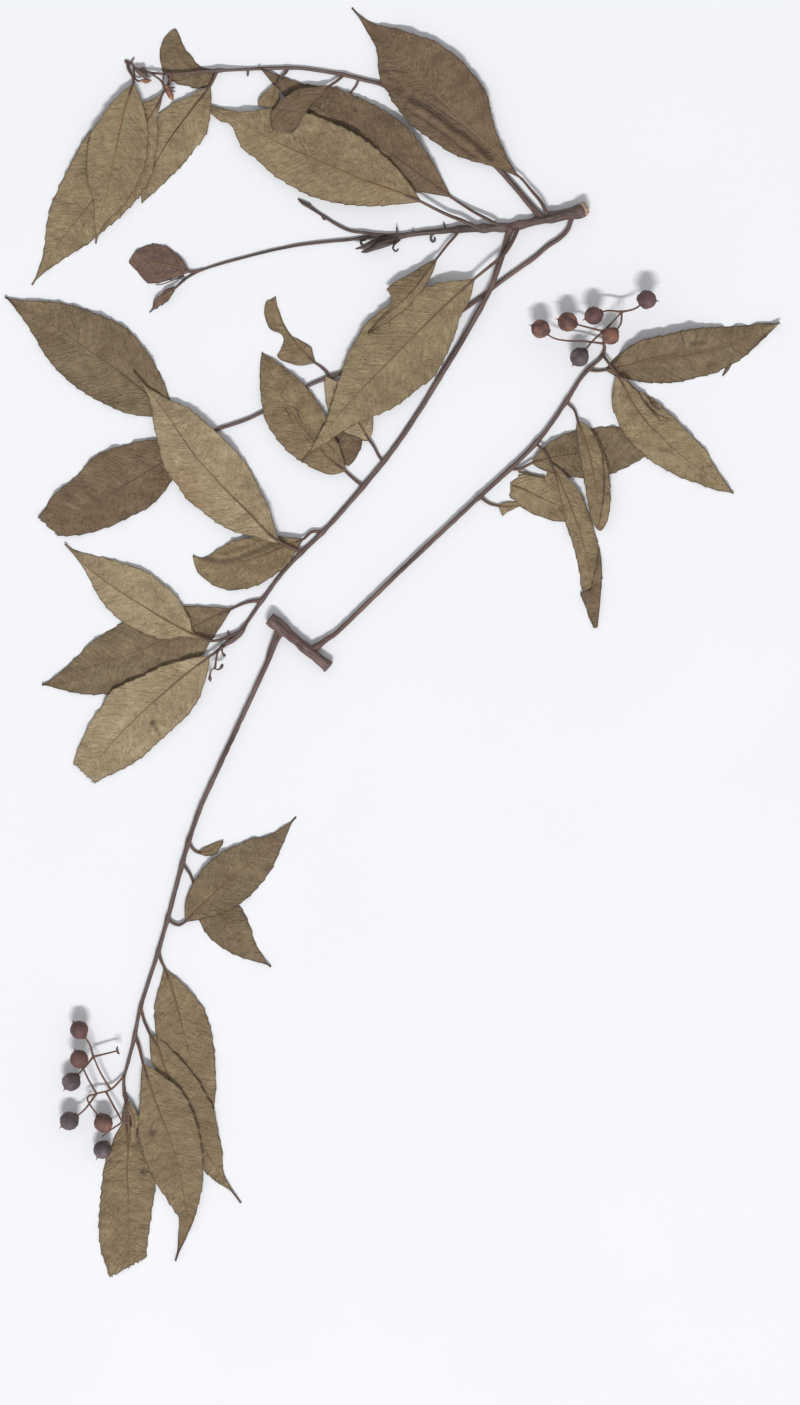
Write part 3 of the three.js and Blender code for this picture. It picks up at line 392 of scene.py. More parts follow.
        margin=[(199, 921), (209, 937), (224, 949), (238, 956), (254, 961), (263, 956), (257, 946),
            (251, 929), (246, 916), (240, 906)],
    ),
    "leaf_down_2": Leaf(
        stalk=[(167, 919), (173, 923), (179, 925)],
        rib=[(185, 922), (201, 906), (219, 889), (238, 873), (254, 861), (270, 845), (296, 817)],
        tone="dull", wide=(10.3, 9.6), peak=0.4, taper=2.6,
        margin=[(185, 905), (189, 892), (196, 879), (206, 865), (222, 852), (237, 845), (252, 838),
            (270, 835), (283, 827), (288, 832), (282, 847), (270, 872), (261, 884), (251, 895),
            (238, 905), (224, 912), (199, 920)],
    ),
    "leaf_down_3": Leaf(
        stalk=[(158, 951), (161, 960)],
        rib=[(164, 967), (171, 985), (178, 1010), (185, 1038), (194, 1066), (214, 1109)],
        tone="olive", wide=(10.6, 9), peak=0.5, taper=2.2, fold=0.6,
        margin=[(183, 983), (200, 1002), (206.7, 1015.6), (213.3, 1042), (215.6, 1073), (215.6, 1093),
            (213.3, 1109), (155.6, 1000), (155.6, 1029)],
    ),
    "leaf_down_4": Leaf(
        stalk=[(141, 1008), (144, 1020)],
        rib=[(149, 1032), (158, 1048), (166, 1070), (182, 1104), (202, 1144), (218, 1171), (241, 1203)],
        tone="olive", wide=(8.8, 8), peak=0.45, taper=2.6,
        margin=[(156.7, 1036.7), (173.3, 1051), (193.3, 1073.3), (204.4, 1091), (213.3, 1106.7),
            (218.9, 1133.3), (223.3, 1153.3), (224.4, 1177.8), (228.9, 1188.9), (150, 1044), (151, 1061),
            (155, 1065), (202.2, 1168.9), (213.3, 1180), (226.7, 1189)],
    ),
    "leaf_down_6": Leaf(
        stalk=[(125, 1097), (127, 1108)],
        rib=[(126, 1121), (128, 1149), (127, 1172), (128, 1191), (128, 1220), (128, 1262), (128, 1320)],
        tone="olive", wide=(10, 10.9), peak=0.42, taper=1.45,
        torn=[(109, 1277), (146, 1257)],
        margin=[(118.7, 1129), (113.4, 1139), (107.2, 1156.5), (102.6, 1175.6), (100, 1202), (100, 1248),
            (108, 1272), (146, 1257), (148, 1240), (150, 1225), (153, 1202), (154, 1199), (156, 1181),
            (151, 1164), (147, 1150)],
        stains_and_shade=[([(143, 1172)], 0.85, 1.4), ([(109, 1161), (125, 1162)], 0.5, 0.5),
            ([(106, 1182), (124, 1180)], 0.45, 0.4)],
    ),
    "young_leaf_low": Leaf(
        stalk=[(124, 1092), (126, 1097)],
        rib=[(127, 1100), (131, 1109), (134.5, 1118), (135, 1130), (134, 1142)],
        tone="khaki", lift=0.8, part_of="down_shoot",
        edges=([(128, 1100), (129.5, 1100.5), (134, 1106), (139.6, 1117.5), (139, 1126), (136.6, 1129),
            (136.8, 1141.6)],
            [(126, 1100), (128.5, 1112), (130.7, 1118), (132, 1125), (130, 1128), (130.5, 1142)]),
        stains_and_shade=[([(130.5, 1118), (139, 1119.5)], 0.8, 0.35), ([(132, 1125), (138, 1128)], 0.6, 0.3)],
    ),
    "grey_fold_low": Leaf(
        stalk=[], rib=[(126, 1101), (126, 1110), (125.7, 1122.5)],
        tone="russet", face="upper", lift=0.5, bare=True, part_of="down_shoot",
        edges=([(128.5, 1101), (130.5, 1110), (131.5, 1122.5)],
            [(125.5, 1101), (123, 1110), (121.5, 1122)]),
    ),
    "leaf_down_5": Leaf(
        stalk=[(135, 1036), (139, 1046)],
        rib=[(143, 1062), (155, 1099), (168, 1133), (177, 1162), (184, 1196), (187, 1218), (182, 1240),
            (175.5, 1261)],
        tone="olive", rib_tone="brown", wide=(12.4, 8.8), peak=0.38, taper=2.6, fold=0.6,
        margin=[(141, 1086), (140, 1107), (138, 1128), (142, 1150), (148, 1166), (156, 1183), (166, 1198),
            (174, 1210), (179.5, 1220), (177.8, 1241), (159, 1072), (178, 1086), (193, 1112), (200, 1135),
            (203, 1160), (203, 1187), (200, 1198), (195, 1217), (189.5, 1230), (185, 1241)],
        stains_and_shade=[([(153, 1133)], 0.8, 1.3)],
    ),
    "leaf_right_3": Leaf(
        stalk=[(509, 469), (519, 469)], rib=[(532, 463), (559, 457), (604, 451), (652, 450)],
        tone="dull", wide=(9.3, 9.5), peak=0.52, taper=1.35,
        margin=[(541, 450), (559, 437), (577, 430), (595, 428), (618, 427), (545, 471), (568, 477),
            (581, 478), (609, 475), (627, 467), (645, 457)],
    ),
    "leaf_right_1": Leaf(
        stalk=[], rib=[(510.5, 485.5), (519, 488), (530, 492.5), (541, 498), (556, 504.6), (578, 512)],
        tone="khaki", rough=0.5,
        edges=([(509.8, 483.1), (513.9, 479.8), (518.5, 477.3), (518, 474.8), (526.4, 473), (533, 475),
            (543, 477.3), (545.8, 476.5), (549, 465), (553, 467), (557, 481), (566, 497), (578, 511)],
            [(510, 487), (510.6, 491.4), (509, 495.5), (511, 498.8), (514.5, 500), (520.6, 507.1),
            (528, 511.3), (533, 514.6), (542.1, 517.1), (552.9, 521.2), (566, 522), (578, 513)]),
    ),
    "base_of_leaf_right_1": Leaf(
        stalk=[(479, 497), (489.9, 503.8)], rib=[(497, 505.7), (507, 507), (521, 504.5)],
        tone="khaki", part_of="leaf_right_1",
        edges=([(498, 505), (507.3, 501.7), (516.4, 501.3), (521, 504)],
            [(498, 506), (502.3, 516.5), (507.7, 511.7), (511.5, 510.4), (514.8, 508.4), (521, 506)]),
    ),
    "rolled_edge_of_leaf_right_1": Leaf(
        stalk=[], rib=[(518, 471.6), (526.4, 472.7), (533, 475.2), (545, 477.5)],
        tone="dull", face="upper", lift=0.9, bare=True, part_of="leaf_right_1",
        edges=([(518, 470.8), (526.4, 471.3), (533, 474), (545, 476)],
            [(518.5, 473), (526.4, 474.4), (533, 476.5), (545, 479)]),
    ),
    "leaf_right_2": Leaf(
        stalk=[(536, 444), (545, 453)], rib=[(551, 464), (568, 500), (582, 540), (591, 580), (594, 628)],
        tone="olive", wide=(5.6, 5), peak=0.44, taper=1.6, loose=2,
        margin=[(556, 480), (561, 505), (566, 526), (574, 548), (580, 575), (581, 590), (586.5, 594),
            (587.3, 614), (570, 480), (581, 494), (588, 512), (595, 532), (599, 548), (602, 576),
            (600, 600)],
    ),
    "folded_tip_of_leaf_right_2": Leaf(
        stalk=[], rib=[(598.8, 548), (598.3, 570), (596.5, 595), (595.6, 628.5)],
        tone="umber", face="upper", lift=0.95, bare=True, part_of="leaf_right_2",
        edges=([(599.3, 547), (601, 557.7), (602, 572.3), (601, 591.7), (599.6, 607.8), (597.7, 627)],
            [(598.3, 548), (597.5, 556), (596, 568), (593.5, 575.5), (592, 583.6), (590.4, 590.8),
            (585, 591), (580.2, 592.5), (580.2, 595), (585, 606), (590, 617.5), (594, 627)]),
    ),
    "leaf_right_4": Leaf(
        stalk=[(566, 402), (574, 410)], rib=[(578, 422), (588, 450), (596, 490), (600, 531)],
        tone="olive", wide=(5.6, 4.4), peak=0.5, taper=1.1,
        margin=[(579, 451), (582, 469), (586, 494), (591, 519), (591, 430), (602, 448), (608, 466),
            (610, 487), (610, 505), (608, 519)],
        ridges=[([(594, 440), (606, 470), (605, 505)], 0.9, 1)],
        creases=[([(588, 424), (595, 438), (601, 452), (604, 478), (603, 500), (598, 528)], 0.32)],
    ),
    "leaf_right_5": Leaf(
        stalk=[(588, 370), (597, 371)],
        rib=[(606, 370), (627, 366), (652, 359), (681, 354), (716, 346), (743, 338), (762, 330.5),
            (779.6, 322.8)],
        tone="dull", wide=(8.9, 10.3), peak=0.42, taper=1.8, fold=-0.5, droop=(2.2, 0), rough=0.6,
        margin=[(616, 357), (629, 347), (643, 340), (663, 336), (699, 328), (735, 326.3), (748, 325.2),
            (766, 322.8), (775.5, 321), (778, 327), (770.7, 332), (762, 340.5), (748.8, 353),
            (741, 359.6), (725, 368), (717.7, 372.5), (699, 377), (672, 383), (645, 383), (627, 379),
            (613, 375)],
        ridges=[([(628, 347), (645, 338), (664, 334), (688, 330)], 2.1, 4.2),
            ([(764, 325), (778, 322)], 1.6, 3.6)],
        # The first stain is painted shade along the midrib.
        stains_and_shade=[([(640, 362), (668, 356), (700, 352), (735, 345)], 0.35, 1),
            ([(692, 344), (703, 343)], 0.6, 1), ([(770, 332), (760, 341), (751, 350)], 0.5, 0.9),
            ([(767, 328.5), (774, 325)], -0.8, 0.6)],
        creases=[([(680.5, 333), (684, 346)], 0.3), ([(697, 331), (694, 350)], 0.24),
            ([(648, 338), (646, 345)], 0.2), ([(668, 336), (669, 342)], 0.2)],
    ),
    "leaf_right_6": Leaf(
        stalk=[(603, 355), (611, 367)],
        rib=[(617, 375), (623.7, 386.5), (630.6, 400.3), (639.5, 413.2), (649.4, 426), (661.3, 437),
            (673, 448.8), (686, 459.6), (703.8, 471.5), (720.6, 483.3), (733.4, 493.5)],
        tone="khaki", wide=(8.7, 10), peak=0.41, taper=1.9, rough=0.55,
        margin=[(612, 393), (614, 413), (624, 434), (634, 446), (649, 460), (666, 470), (684, 479),
            (702, 485), (720, 491), (631, 386), (645, 393), (663, 407), (681, 425), (693, 437),
            (707, 451), (715, 467), (724, 480)],
        ridges=[([(622, 378), (635, 392), (643, 404), (654, 417)], 1.5, 0.9),
            ([(645, 397), (652, 404), (660, 412)], 0.7, 0.7),
            ([(634, 444), (655, 450), (673, 456)], 0.8, 1.6)],
        # These stains are painted shade along the folds.
        stains_and_shade=[([(627, 395), (637, 415)], 0.35, 1.8), ([(648, 398), (657, 409)], 0.4, 1.2)],
        creases=[([(621, 374), (630.6, 384.5), (637.5, 392.4), (644.5, 403.3), (655.3, 415.2),
            (660.3, 422)], 0.34),
            ([(643, 394), (649, 398.5), (652, 405), (661, 411)], 0.26),
            ([(646, 404), (655, 413), (663, 417), (673, 422)], 0.22), ([(650, 402), (655, 404.5)], 0.22)],
    ),
    "torn_bit_of_leaf_right_5": Leaf(
        stalk=[], rib=[(730, 364), (726.5, 370), (722.3, 376)],
        tone="umber", lift=-0.1, bare=True, part_of="leaf_right_5",
        edges=([(727.5, 364), (725, 369), (722.3, 375)],
            [(732, 364), (728.5, 370.6), (723, 376.4)]),
    ),
}

# Each shoot's branches: the path and the widths, at its two ends or at each of its places. "rust" marks a
# dry bract of a redder brown.
SHOOTS = {
    "main_stem": [
        ([(582.6, 210.4), (577, 213), (566, 214.7), (544, 219.5), (518, 225.5), (500, 228), (460, 229.5),
            (431.8, 232.2), (413.5, 234.1), (401.2, 237.2), (395.1, 240.2)],
            [5.8, 5.2, 4.5, 3.2, 3.1, 2.8, 2.5, 2.2, 2, 1.7, 1.2]),
        ([(184, 276), (178, 278.3), (170, 281.8), (163, 284.3), (155.3, 285.2)], [0.5, 0.3]),
        ([(399, 236), (383, 235.7), (370.6, 236.6), (352, 239.5), (300, 245), (250, 256), (205, 269),
            (192, 275), (184, 280)], [1.3, 0.8]),
        ([(424, 233), (412, 233.5), (398, 235), (377, 234.6), (365, 233), (350.7, 231), (341, 227),
            (323, 216), (314, 210), (302, 202)], [1.2, 1.1]),
        ([(298, 199), (303, 203), (309, 206.5), (315, 211)], [0.5, 1.4, 1.6, 0.9]),
        ([(321.5, 216), (323, 219), (325.3, 220), (326, 217.5)], [0.5, 0.4]),
        ([(398, 238.5), (388, 239.5), (375, 242), (363, 247.5), (355.3, 249.6)],
            [1.6, 2.3, 2.1, 1.4, 0.5]),
        ([(398, 240), (388, 243.5), (376, 247.5), (366, 251.3), (361, 252.5)], [1.7, 2.6, 2.4, 1.5, 0.5]),
        ([(366, 240), (361.5, 240.5), (361, 244), (365.2, 247)], [0.9, 0.9, 0.7, 0.5]),
        ([(398, 236), (397, 231), (396.6, 227)], [0.9, 0.6]),
        ([(412, 234), (412.4, 231.5), (414, 230.2)], [0.8, 0.6]),
        ([(434.5, 233), (431.3, 236.5), (430.8, 240), (433, 242.2), (435.3, 240), (434, 237.6)],
            [0.9, 0.6]),
        ([(445.5, 231), (445.2, 228), (443.3, 222.7)], [1, 0.6]),
        ([(400, 240), (394.5, 245), (393, 249.5), (396, 252.4), (398.6, 249.5)], [0.9, 0.7]),
    ],
    "under_shoot": [
        ([(573, 214), (567.5, 230), (559, 239), (548, 246), (530, 261), (507, 277.2), (490, 290.2),
            (465, 309), (420, 334), (380, 353), (345, 371), (308, 386), (261, 413), (240, 422),
            (213, 431), (192, 441)], [1.7, 1.3]),
    ],
    "long_shoot": [
        ([(511, 227), (507, 240), (504, 250), (500, 262), (490, 290), (470, 327), (443, 372), (416, 416),
            (389, 455), (362, 488), (337, 517), (323, 532), (286, 569), (264, 598), (248, 621),
            (238.5, 635), (231.5, 641), (223.7, 645.5)],
            [2.4, 2.3, 2.2, 2.2, 2.1, 2, 2, 1.9, 1.8, 1.8, 1.7, 1.6, 1.4, 1.4, 1.3, 2.2, 2.2, 0.9]),
        ([(234, 640), (229.5, 634.7), (227.5, 631)], [0.9, 0.7]),
        ([(238, 634), (228, 638), (218, 641.5)], [0.9, 0.7]),
        ([(224, 646.5), (218.5, 652), (216.7, 659), (215.1, 669.6)], [0.8, 0.7, 0.8, 1]),
        ([(214.8, 667.5), (211.3, 671.1), (210.2, 675.7), (210.2, 678.5), (210.8, 682)],
            [0.5, 0.45, 0.8, 1.5, 0.3]),
        ([(222.8, 648), (222.5, 652), (225.5, 656.6)], [0.7, 0.7, 1.6]),
        ([(215.3, 668.5), (218.5, 669.8), (221.5, 667.5), (223, 664)], [0.5, 0.7, 1.3, 1.1]),
    ],
    "top_shoot": [
        ([(542, 219), (536, 212), (525, 199), (512, 184), (498, 168.5), (481, 153.5), (462, 138.5),
            (448, 127.5), (428, 113.5), (410, 101), (394, 91), (381, 84.7), (364, 80), (343, 75),
            (320, 71), (300, 68.5), (267, 68.5), (240, 70), (212, 71.5), (164.4, 74.4), (150.4, 73),
            (139, 69.5), (134.9, 68), (131.4, 63.9), (124.4, 60.4)],
            [2.6, 2.4, 2.2, 2, 1.9, 1.9, 1.8, 1.8, 1.7, 1.7, 1.6, 1.5, 1.5, 1.4, 1.4, 1.3, 1.3, 1.2, 1.1,
            1, 1, 0.9, 0.8, 0.8, 0.5]),
        ([(359, 79), (356, 86), (350, 93.5)], [0.9, 0.7]),
        ([(248, 70), (248, 73), (247.5, 76.5)], [1, 0.8]),
        ([(131, 64.5), (128.6, 63.2), (124.4, 62.5)], [0.6, 0.4]),
        ([(131.5, 64), (131.6, 61.8), (134.6, 58.2)], [0.7, 0.5]),
        ([(133.5, 68), (134.3, 73), (134.9, 77.9), (137, 80.8), (141, 82)], [0.6, 0.6, 0.6, 0.7, 1]),
        ([(141, 69), (142.6, 70.8), (144, 74.4), (145.4, 79.3)], [1.8, 3, 1.7, 0.6]),
        ([(135, 69.5), (139, 71.5), (144, 74.5), (148.5, 77.5)], [0.9, 2.3, 2.4, 0.6]),
        ([(141, 80.5), (145, 81.6), (149, 81.4), (152, 80.6)], [0.7, 2, 1.6, 0.3], "rust"),
        ([(150.4, 73.7), (156, 77.5), (161.6, 82.1), (165.8, 93.3)], [0.8, 0.8, 0.8, 0.5]),
        ([(166, 86), (169, 92), (171.5, 97.5), (173.6, 101.5)], [1.1, 2, 2.3, 0.6], "rust"),
        ([(165, 74.5), (163.5, 82), (167.5, 91)], [0.8, 0.7, 0.8]),
        ([(168.6, 84.9), (168, 88), (167.9, 90.5), (170.7, 96.8), (174.2, 100.4)],
            [0.5, 0.9, 2, 1.6, 0.4]),
        ([(167.9, 89.5), (172, 89), (175.6, 88)], [1.2, 0.9, 0.4]),
        ([(168.5, 91), (172, 91.8), (175.6, 92.5)], [1.2, 1, 0.4]),
    ],
    "cut_wood": [
        ([(270, 618.5), (277, 624), (290, 635), (311, 652.5), (322, 661.5), (328.5, 667)],
            [5.4, 5.3, 3.9, 4.2, 4.1, 4.9]),
    ],
    "down_shoot": [
        ([(281, 629), (276, 639.5), (272.5, 647.5), (269.5, 656), (267, 663.5), (258.5, 682),
            (242.3, 717), (220.8, 763), (199.6, 810), (189, 841), (181, 869), (168, 918), (158, 953),
            (148, 984), (140, 1010), (134, 1040), (127, 1067), (124, 1079), (124.6, 1097.5)],
            [3.4, 2.9, 2.6, 2.2, 1.9, 1.85, 1.8, 1.8, 1.8, 1.75, 1.7, 1.6, 1.5, 1.4, 1.35, 1.3, 1.2, 1.1,
            1]),
        ([(124.6, 1096), (126.5, 1096.5), (128.3, 1097.6)], [1.1, 1.4, 1]),
        ([(137.5, 1128), (139.3, 1134), (140, 1142)], [0.7, 1.3, 0.5]),
    ],
    "right_shoot": [
        ([(312, 650), (317, 646.5), (321.6, 643.3), (327, 639.4), (335, 634.2), (349, 621), (399, 572.5),
            (469, 506.7), (537, 442), (566, 402), (579, 381), (588, 370), (602, 356), (605, 346)],
            [3, 2.6, 2.2, 1.9, 1.75, 1.7, 1.75, 1.75, 1.6, 1.5, 1.4, 1.3, 1.2, 1]),
    ],
}

# The pale end of the cut wood, just beyond the bark
CUT_FACE = [(587.2, 208), (584.8, 209.2), (579, 212)], [4.6, 5.9, 5.3]

# Fruit stalks: places on the photograph, and heights in millimetres. A height of 0 is on the shoot.
FRUIT_STALKS = {
    "stalks_right": [
        [(604, 349, 0), (603, 340, 3.6), (603, 332, 5)],
        [(603, 344, 3.2), (584, 342, 5), (566, 341.5, 6.2), (553, 339, 7.2), (540, 330, 8)],
        [(603, 332, 5), (586, 328, 6.8), (567, 323, 8.2)],
        [(603, 332, 5), (593, 341, 5.6), (579, 358, 6.4)],
        [(603, 332, 5), (612, 323, 6.6), (621, 313, 7.6)],
        [(621, 313, 7.6), (606, 312, 8.4), (593, 317, 8.8)],
        [(621, 313, 7.6), (634, 310, 8.6), (646, 301, 9.4)],
        [(621, 313, 7.6), (620, 325, 7.4), (610, 337, 7.4)],
    ],
    "stalks_left": [
        [(124, 1076, 0), (111, 1089, 3.2), (97, 1093, 4.4), (88, 1097, 4.8), (104, 1122, 5.6)],
        [(97, 1093, 4.4), (84, 1110, 5.2), (70, 1120, 5.8)],
        [(111, 1089, 3.2), (101, 1072, 4.6), (94, 1056, 5.6)],
        [(94, 1056, 5.6), (90, 1043, 6), (80, 1029, 6.4)],
        [(94, 1056, 5.6), (106, 1053, 6), (118, 1050, 6.2)],
        [(94, 1056, 5.6), (85, 1067, 5.6), (72, 1081, 5.6)],
        [(97, 1093, 4.4), (89, 1078, 6.8), (80, 1058, 7.6)],
        [(106, 1090.5, 3.6), (108, 1094, 3.8), (114, 1105, 4.6), (119.7, 1115.3, 5), (122, 1121, 5),
            (115, 1126.5, 5), (109.4, 1130.2, 5), (102.5, 1136, 4.8)],
    ],
}

# The calyx of a fruit that fell: its place and height, and the place it points away from
FALLEN_FRUIT = [(118, 1050, 6.2), (106, 1053, 6)]

# Each berry's place and height, its radius, and the place on its stalk that it points away from
BERRIES = {
    "berry_right_1": ((540, 330, 8), 3.35, (567, 340, 6.2), "orange"),
    "berry_right_2": ((567, 323, 8.2), 3.5, (586, 328, 6.8), "orange"),
    "berry_right_3": ((593, 317, 8.8), 3.3, (606, 312, 8.4), "brick"),
    "berry_right_4": ((610, 337, 7.4), 3.15, (620, 325, 7.4), "orange"),
    "berry_right_5": ((579, 358, 6.4), 3.45, (593, 341, 5.6), "plum"),
    "berry_right_6": ((646, 301, 9.4), 3.4, (634, 299, 8.6), "dusk"),
    "berry_left_1": ((80, 1029, 6.4), 3.3, (90, 1043, 6), "brick"),
    "berry_left_2": ((80, 1058, 7.6), 3.3, (89, 1078, 6.8), "brick"),
    "berry_left_3": ((72, 1081, 5.6), 3.35, (85, 1067, 5.6), "plum"),
    "berry_left_4": ((70, 1120, 5.8), 3.4, (84, 1110, 5.2), "plum"),
    "berry_left_5": ((104, 1122, 5.6), 3.4, (88, 1097, 4.8), "brown"),
    "berry_left_6": ((103, 1149, 4.4), 3.3, (113, 1134, 4.8), "plum"),
}


def to_mm(pixels):
    """Places on the photograph as millimetres across and along the ground."""
    places = np.asarray([pixel[:2] for pixel in pixels], float)
    away = np.column_stack((places[:, 0] - ORIGIN_PIXEL[0], ORIGIN_PIXEL[1] - places[:, 1]))
    return away / PIXELS_PER_MM


def raised(points):
    """Places on the photograph and their heights, as points in millimetres."""
    return np.column_stack((to_mm(points), [point[2] for point in points]))


def lengths(line):
    """How far along the line each of its points is."""
    return np.concatenate(([0], np.cumsum(np.linalg.norm(np.diff(line, axis=0), axis=1))))


def at(line, where):
    """Points of a line at distances along it."""
    run = lengths(line)
    return np.column_stack([np.interp(where, run, column) for column in line.T])


def curve(points, step):
    """A smooth line through the points, in even steps."""
    p = np.asarray(points, float)
    p = np.vstack((2 * p[0] - p[1], p, 2 * p[-1] - p[-2]))
    u = np.linspace(0, 1, CURVE_STEPS, endpoint=False)[:, None]
    fine = []
    for before, start, end, after in zip(p, p[1:], p[2:], p[3:]):
        a, b, c = (math.sqrt(np.linalg.norm(leg)) for leg in (start - before, end - start, after - end))
        leave = ((start - before) / a - (end - before) / (a + b) + (end - start) / b) * b
        arrive = ((end - start) / b - (after - start) / (b + c) + (after - end) / c) * b
        bend = 3 * (end - start) - 2 * leave - arrive
        fine.append(start + leave * u + bend * u**2 + (2 * (start - end) + leave + arrive) * u**3)
    fine = np.vstack(fine + [p[-2:-1]])
    total = lengths(fine)[-1]
    return at(fine, np.linspace(0, total, max(3, round(total / step) + 1)))


def headings(line):
    """The unit direction of the line at each point."""
    ahead = np.gradient(line, axis=0)
    return ahead / np.linalg.norm(ahead, axis=1)[:, None]


def soften(values, reach):
    """Averages each value with its neighbours along the first axis."""
    weights = np.hanning(2 * reach + 3)[1:-1]
    padded = np.concatenate((np.repeat(values[:1], reach, 0), values, np.repeat(values[-1:], reach, 0)))
    parts = [weight * padded[i : i + len(values)] for i, weight in enumerate(weights)]
    return np.sum(parts, axis=0) / weights.sum()


def ripples(x, y, rng, size):
    """A smooth uneven surface, with hollows about a size apart."""
    waves = []
    for _ in range(8):
        turn = rng.uniform(0, 2 * math.pi)
        rate = 2 * math.pi / size * rng.uniform(0.6, 1.5)
        waves.append(np.sin(rate * (x * math.cos(turn) + y * math.sin(turn)) + rng.uniform(0, 2 * math.pi)))
    return np.sum(waves, axis=0) / 2.5


def near(points, spots, reach):
    """How close each point is to a line of spots: 1 on it, 0 well away."""
    line = curve(to_mm(spots), SPOT_STEP) if len(spots) > 1 else to_mm(spots)
    away = np.full(points.shape[:-1], np.inf)
    for x, y in line:
        away = np.minimum(away, np.hypot(points[..., 0] - x, points[..., 1] - y))
    return np.exp(-((away / reach) ** 2))


def sheet_faces(rows, columns):
    """Faces of a closed sheet: its upper grid of points, then its lower one."""
    number = np.arange(rows * columns).reshape(rows, columns)
    under = rows * columns
    quads = np.stack((number[:-1, :-1], number[1:, :-1], number[1:, 1:], number[:-1, 1:]), -1)
    quads = quads.reshape(-1, 4)
    round_edge = np.concatenate((number[:-1, 0], number[-1, :-1], number[:0:-1, -1], number[0, :0:-1]))
    following = np.roll(round_edge, -1)
    rim = np.stack((round_edge, round_edge + under, following + under, following), -1)
    return np.vstack((quads, quads[:, ::-1] + under, rim)).tolist()


def ring_faces(rings, sides):
    """Faces of a closed body, whose points come ring after ring."""
    number = np.arange(rings * sides).reshape(rings, sides)
    after = np.roll(number, -1, axis=1)
    walls = np.stack((number[:-1], after[:-1], after[1:], number[1:]), -1).reshape(-1, 4).tolist()
    return walls + [number[0, ::-1].tolist(), number[-1].tolist()]


def round_angles(sides):
    return np.linspace(0, 2 * math.pi, sides, endpoint=False)


def tube(line, radii, sides, flat=1.0):
    """Points, faces and (round, along) places of a closed tube along a line in space."""
    ahead = headings(line)
    side = np.column_stack((-ahead[:, 1], ahead[:, 0], np.zeros(len(line))))
    side /= np.maximum(np.linalg.norm(side, axis=1), 1e-6)[:, None]
    up = np.cross(ahead, side)
    angle = round_angles(sides)
    radii = np.asarray(radii, float).reshape(len(line), -1)
    rings = line[:, None, :] + side[:, None, :] * (radii * np.cos(angle))[:, :, None]
    rings = rings - up[:, None, :] * (radii * flat * np.sin(angle))[:, :, None]
    places = np.stack(np.broadcast_arrays(angle * 0.5, lengths(line)[:, None] * MM * 100), -1)
    return rings.reshape(-1, 3), ring_faces(len(line), sides), places.reshape(-1, 2)


def add_object(name, data):
    """A new object in the scene."""
    added = bpy.data.objects.new(name, data)
    bpy.context.scene.collection.objects.link(added)
    return added


class Solid:
    """A CAD node, asked for the height of its middle."""

    def __init__(self, node):
        mesh = bmesh.new()
        mesh.from_mesh(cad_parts[node].data)
        self.tree = BVHTree.FromBMesh(mesh)
        mesh.free()

    def middle(self, x, y):
        above = self.tree.ray_cast(Vector((x * MM, y * MM, 1)), Vector((0, 0, -1)))[0]
        below = self.tree.ray_cast(Vector((x * MM, y * MM, -1)), Vector((0, 0, 1)))[0]
        return math.nan if above is None or below is None else (above.z + below.z) / 2 / MM

    def along(self, line):
        """Heights along a line, filled in where the line leaves the solid."""
        heights = np.array([self.middle(x, y) for x, y in line])
        known = ~np.isnan(heights)
        if not known.any():
            nearest = [self.tree.find_nearest(Vector((x * MM, y * MM, 0)))[0].z for x, y in line]
            return np.array(nearest) / MM
        return np.interp(np.arange(len(line)), np.flatnonzero(known), heights[known])


class Piece:
    """One visible piece, gathered from closed parts."""

    def __init__(self, name):
        self.name = name
        self.points, self.faces, self.finishes = [], [], []
        self.across, self.margin, self.stain_and_shade = [], [], []
        self.materials = []
        self.count = 0

    def add(self, points, faces, material, across=None, margin=None, stain_and_shade=None):
        """Adds a part: its points, faces, material, and what its material follows at each point."""
        if material not in self.materials:
            self.materials.append(material)
        size = len(points)
        self.points.append(points)
        self.faces += [[corner + self.count for corner in face] for face in faces]
        self.finishes += [self.materials.index(material)] * len(faces)
        self.across.append(np.zeros((size, 2)) if across is None else across)
        self.margin.append(np.ones((size, 2)) if margin is None else margin)
        self.stain_and_shade.append(np.zeros(size) if stain_and_shade is None else stain_and_shade)
        self.count += size

    def add_tube(self, material, line, radii, sides, flat=1.0):
        points, faces, places = tube(line, radii, sides, flat)
        self.add(points, faces, material, places)

    def finish(self, slot, *nodes):
        """Makes the object, with its normals outward, in place of the nodes."""
        mesh = bpy.data.meshes.new(self.name)
        mesh.from_pydata((np.vstack(self.points) * MM).tolist(), [], self.faces)
        for material in self.materials:
            mesh.materials.append(material)
        mesh.polygons.foreach_set("material_index", self.finishes)
        mesh.polygons.foreach_set("use_smooth", [True] * len(self.faces))
        corners = np.empty(len(mesh.loops), int)
        mesh.loops.foreach_get("vertex_index", corners)
        for name, values in (("across", self.across), ("margin", self.margin)):
            layer = mesh.uv_layers.new(name=name)
            layer.data.foreach_set("uv", np.vstack(values)[corners].ravel())
        layer = mesh.attributes.new("stain_and_shade", "FLOAT", "POINT")
        layer.data.foreach_set("value", np.concatenate(self.stain_and_shade))
        outward = bmesh.new()
        outward.from_mesh(mesh)
        bmesh.ops.recalc_face_normals(outward, faces=outward.faces)
        outward.to_mesh(mesh)
        outward.free()
        piece = add_object(self.name, mesh)
        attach(piece, "root")
        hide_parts(*nodes)


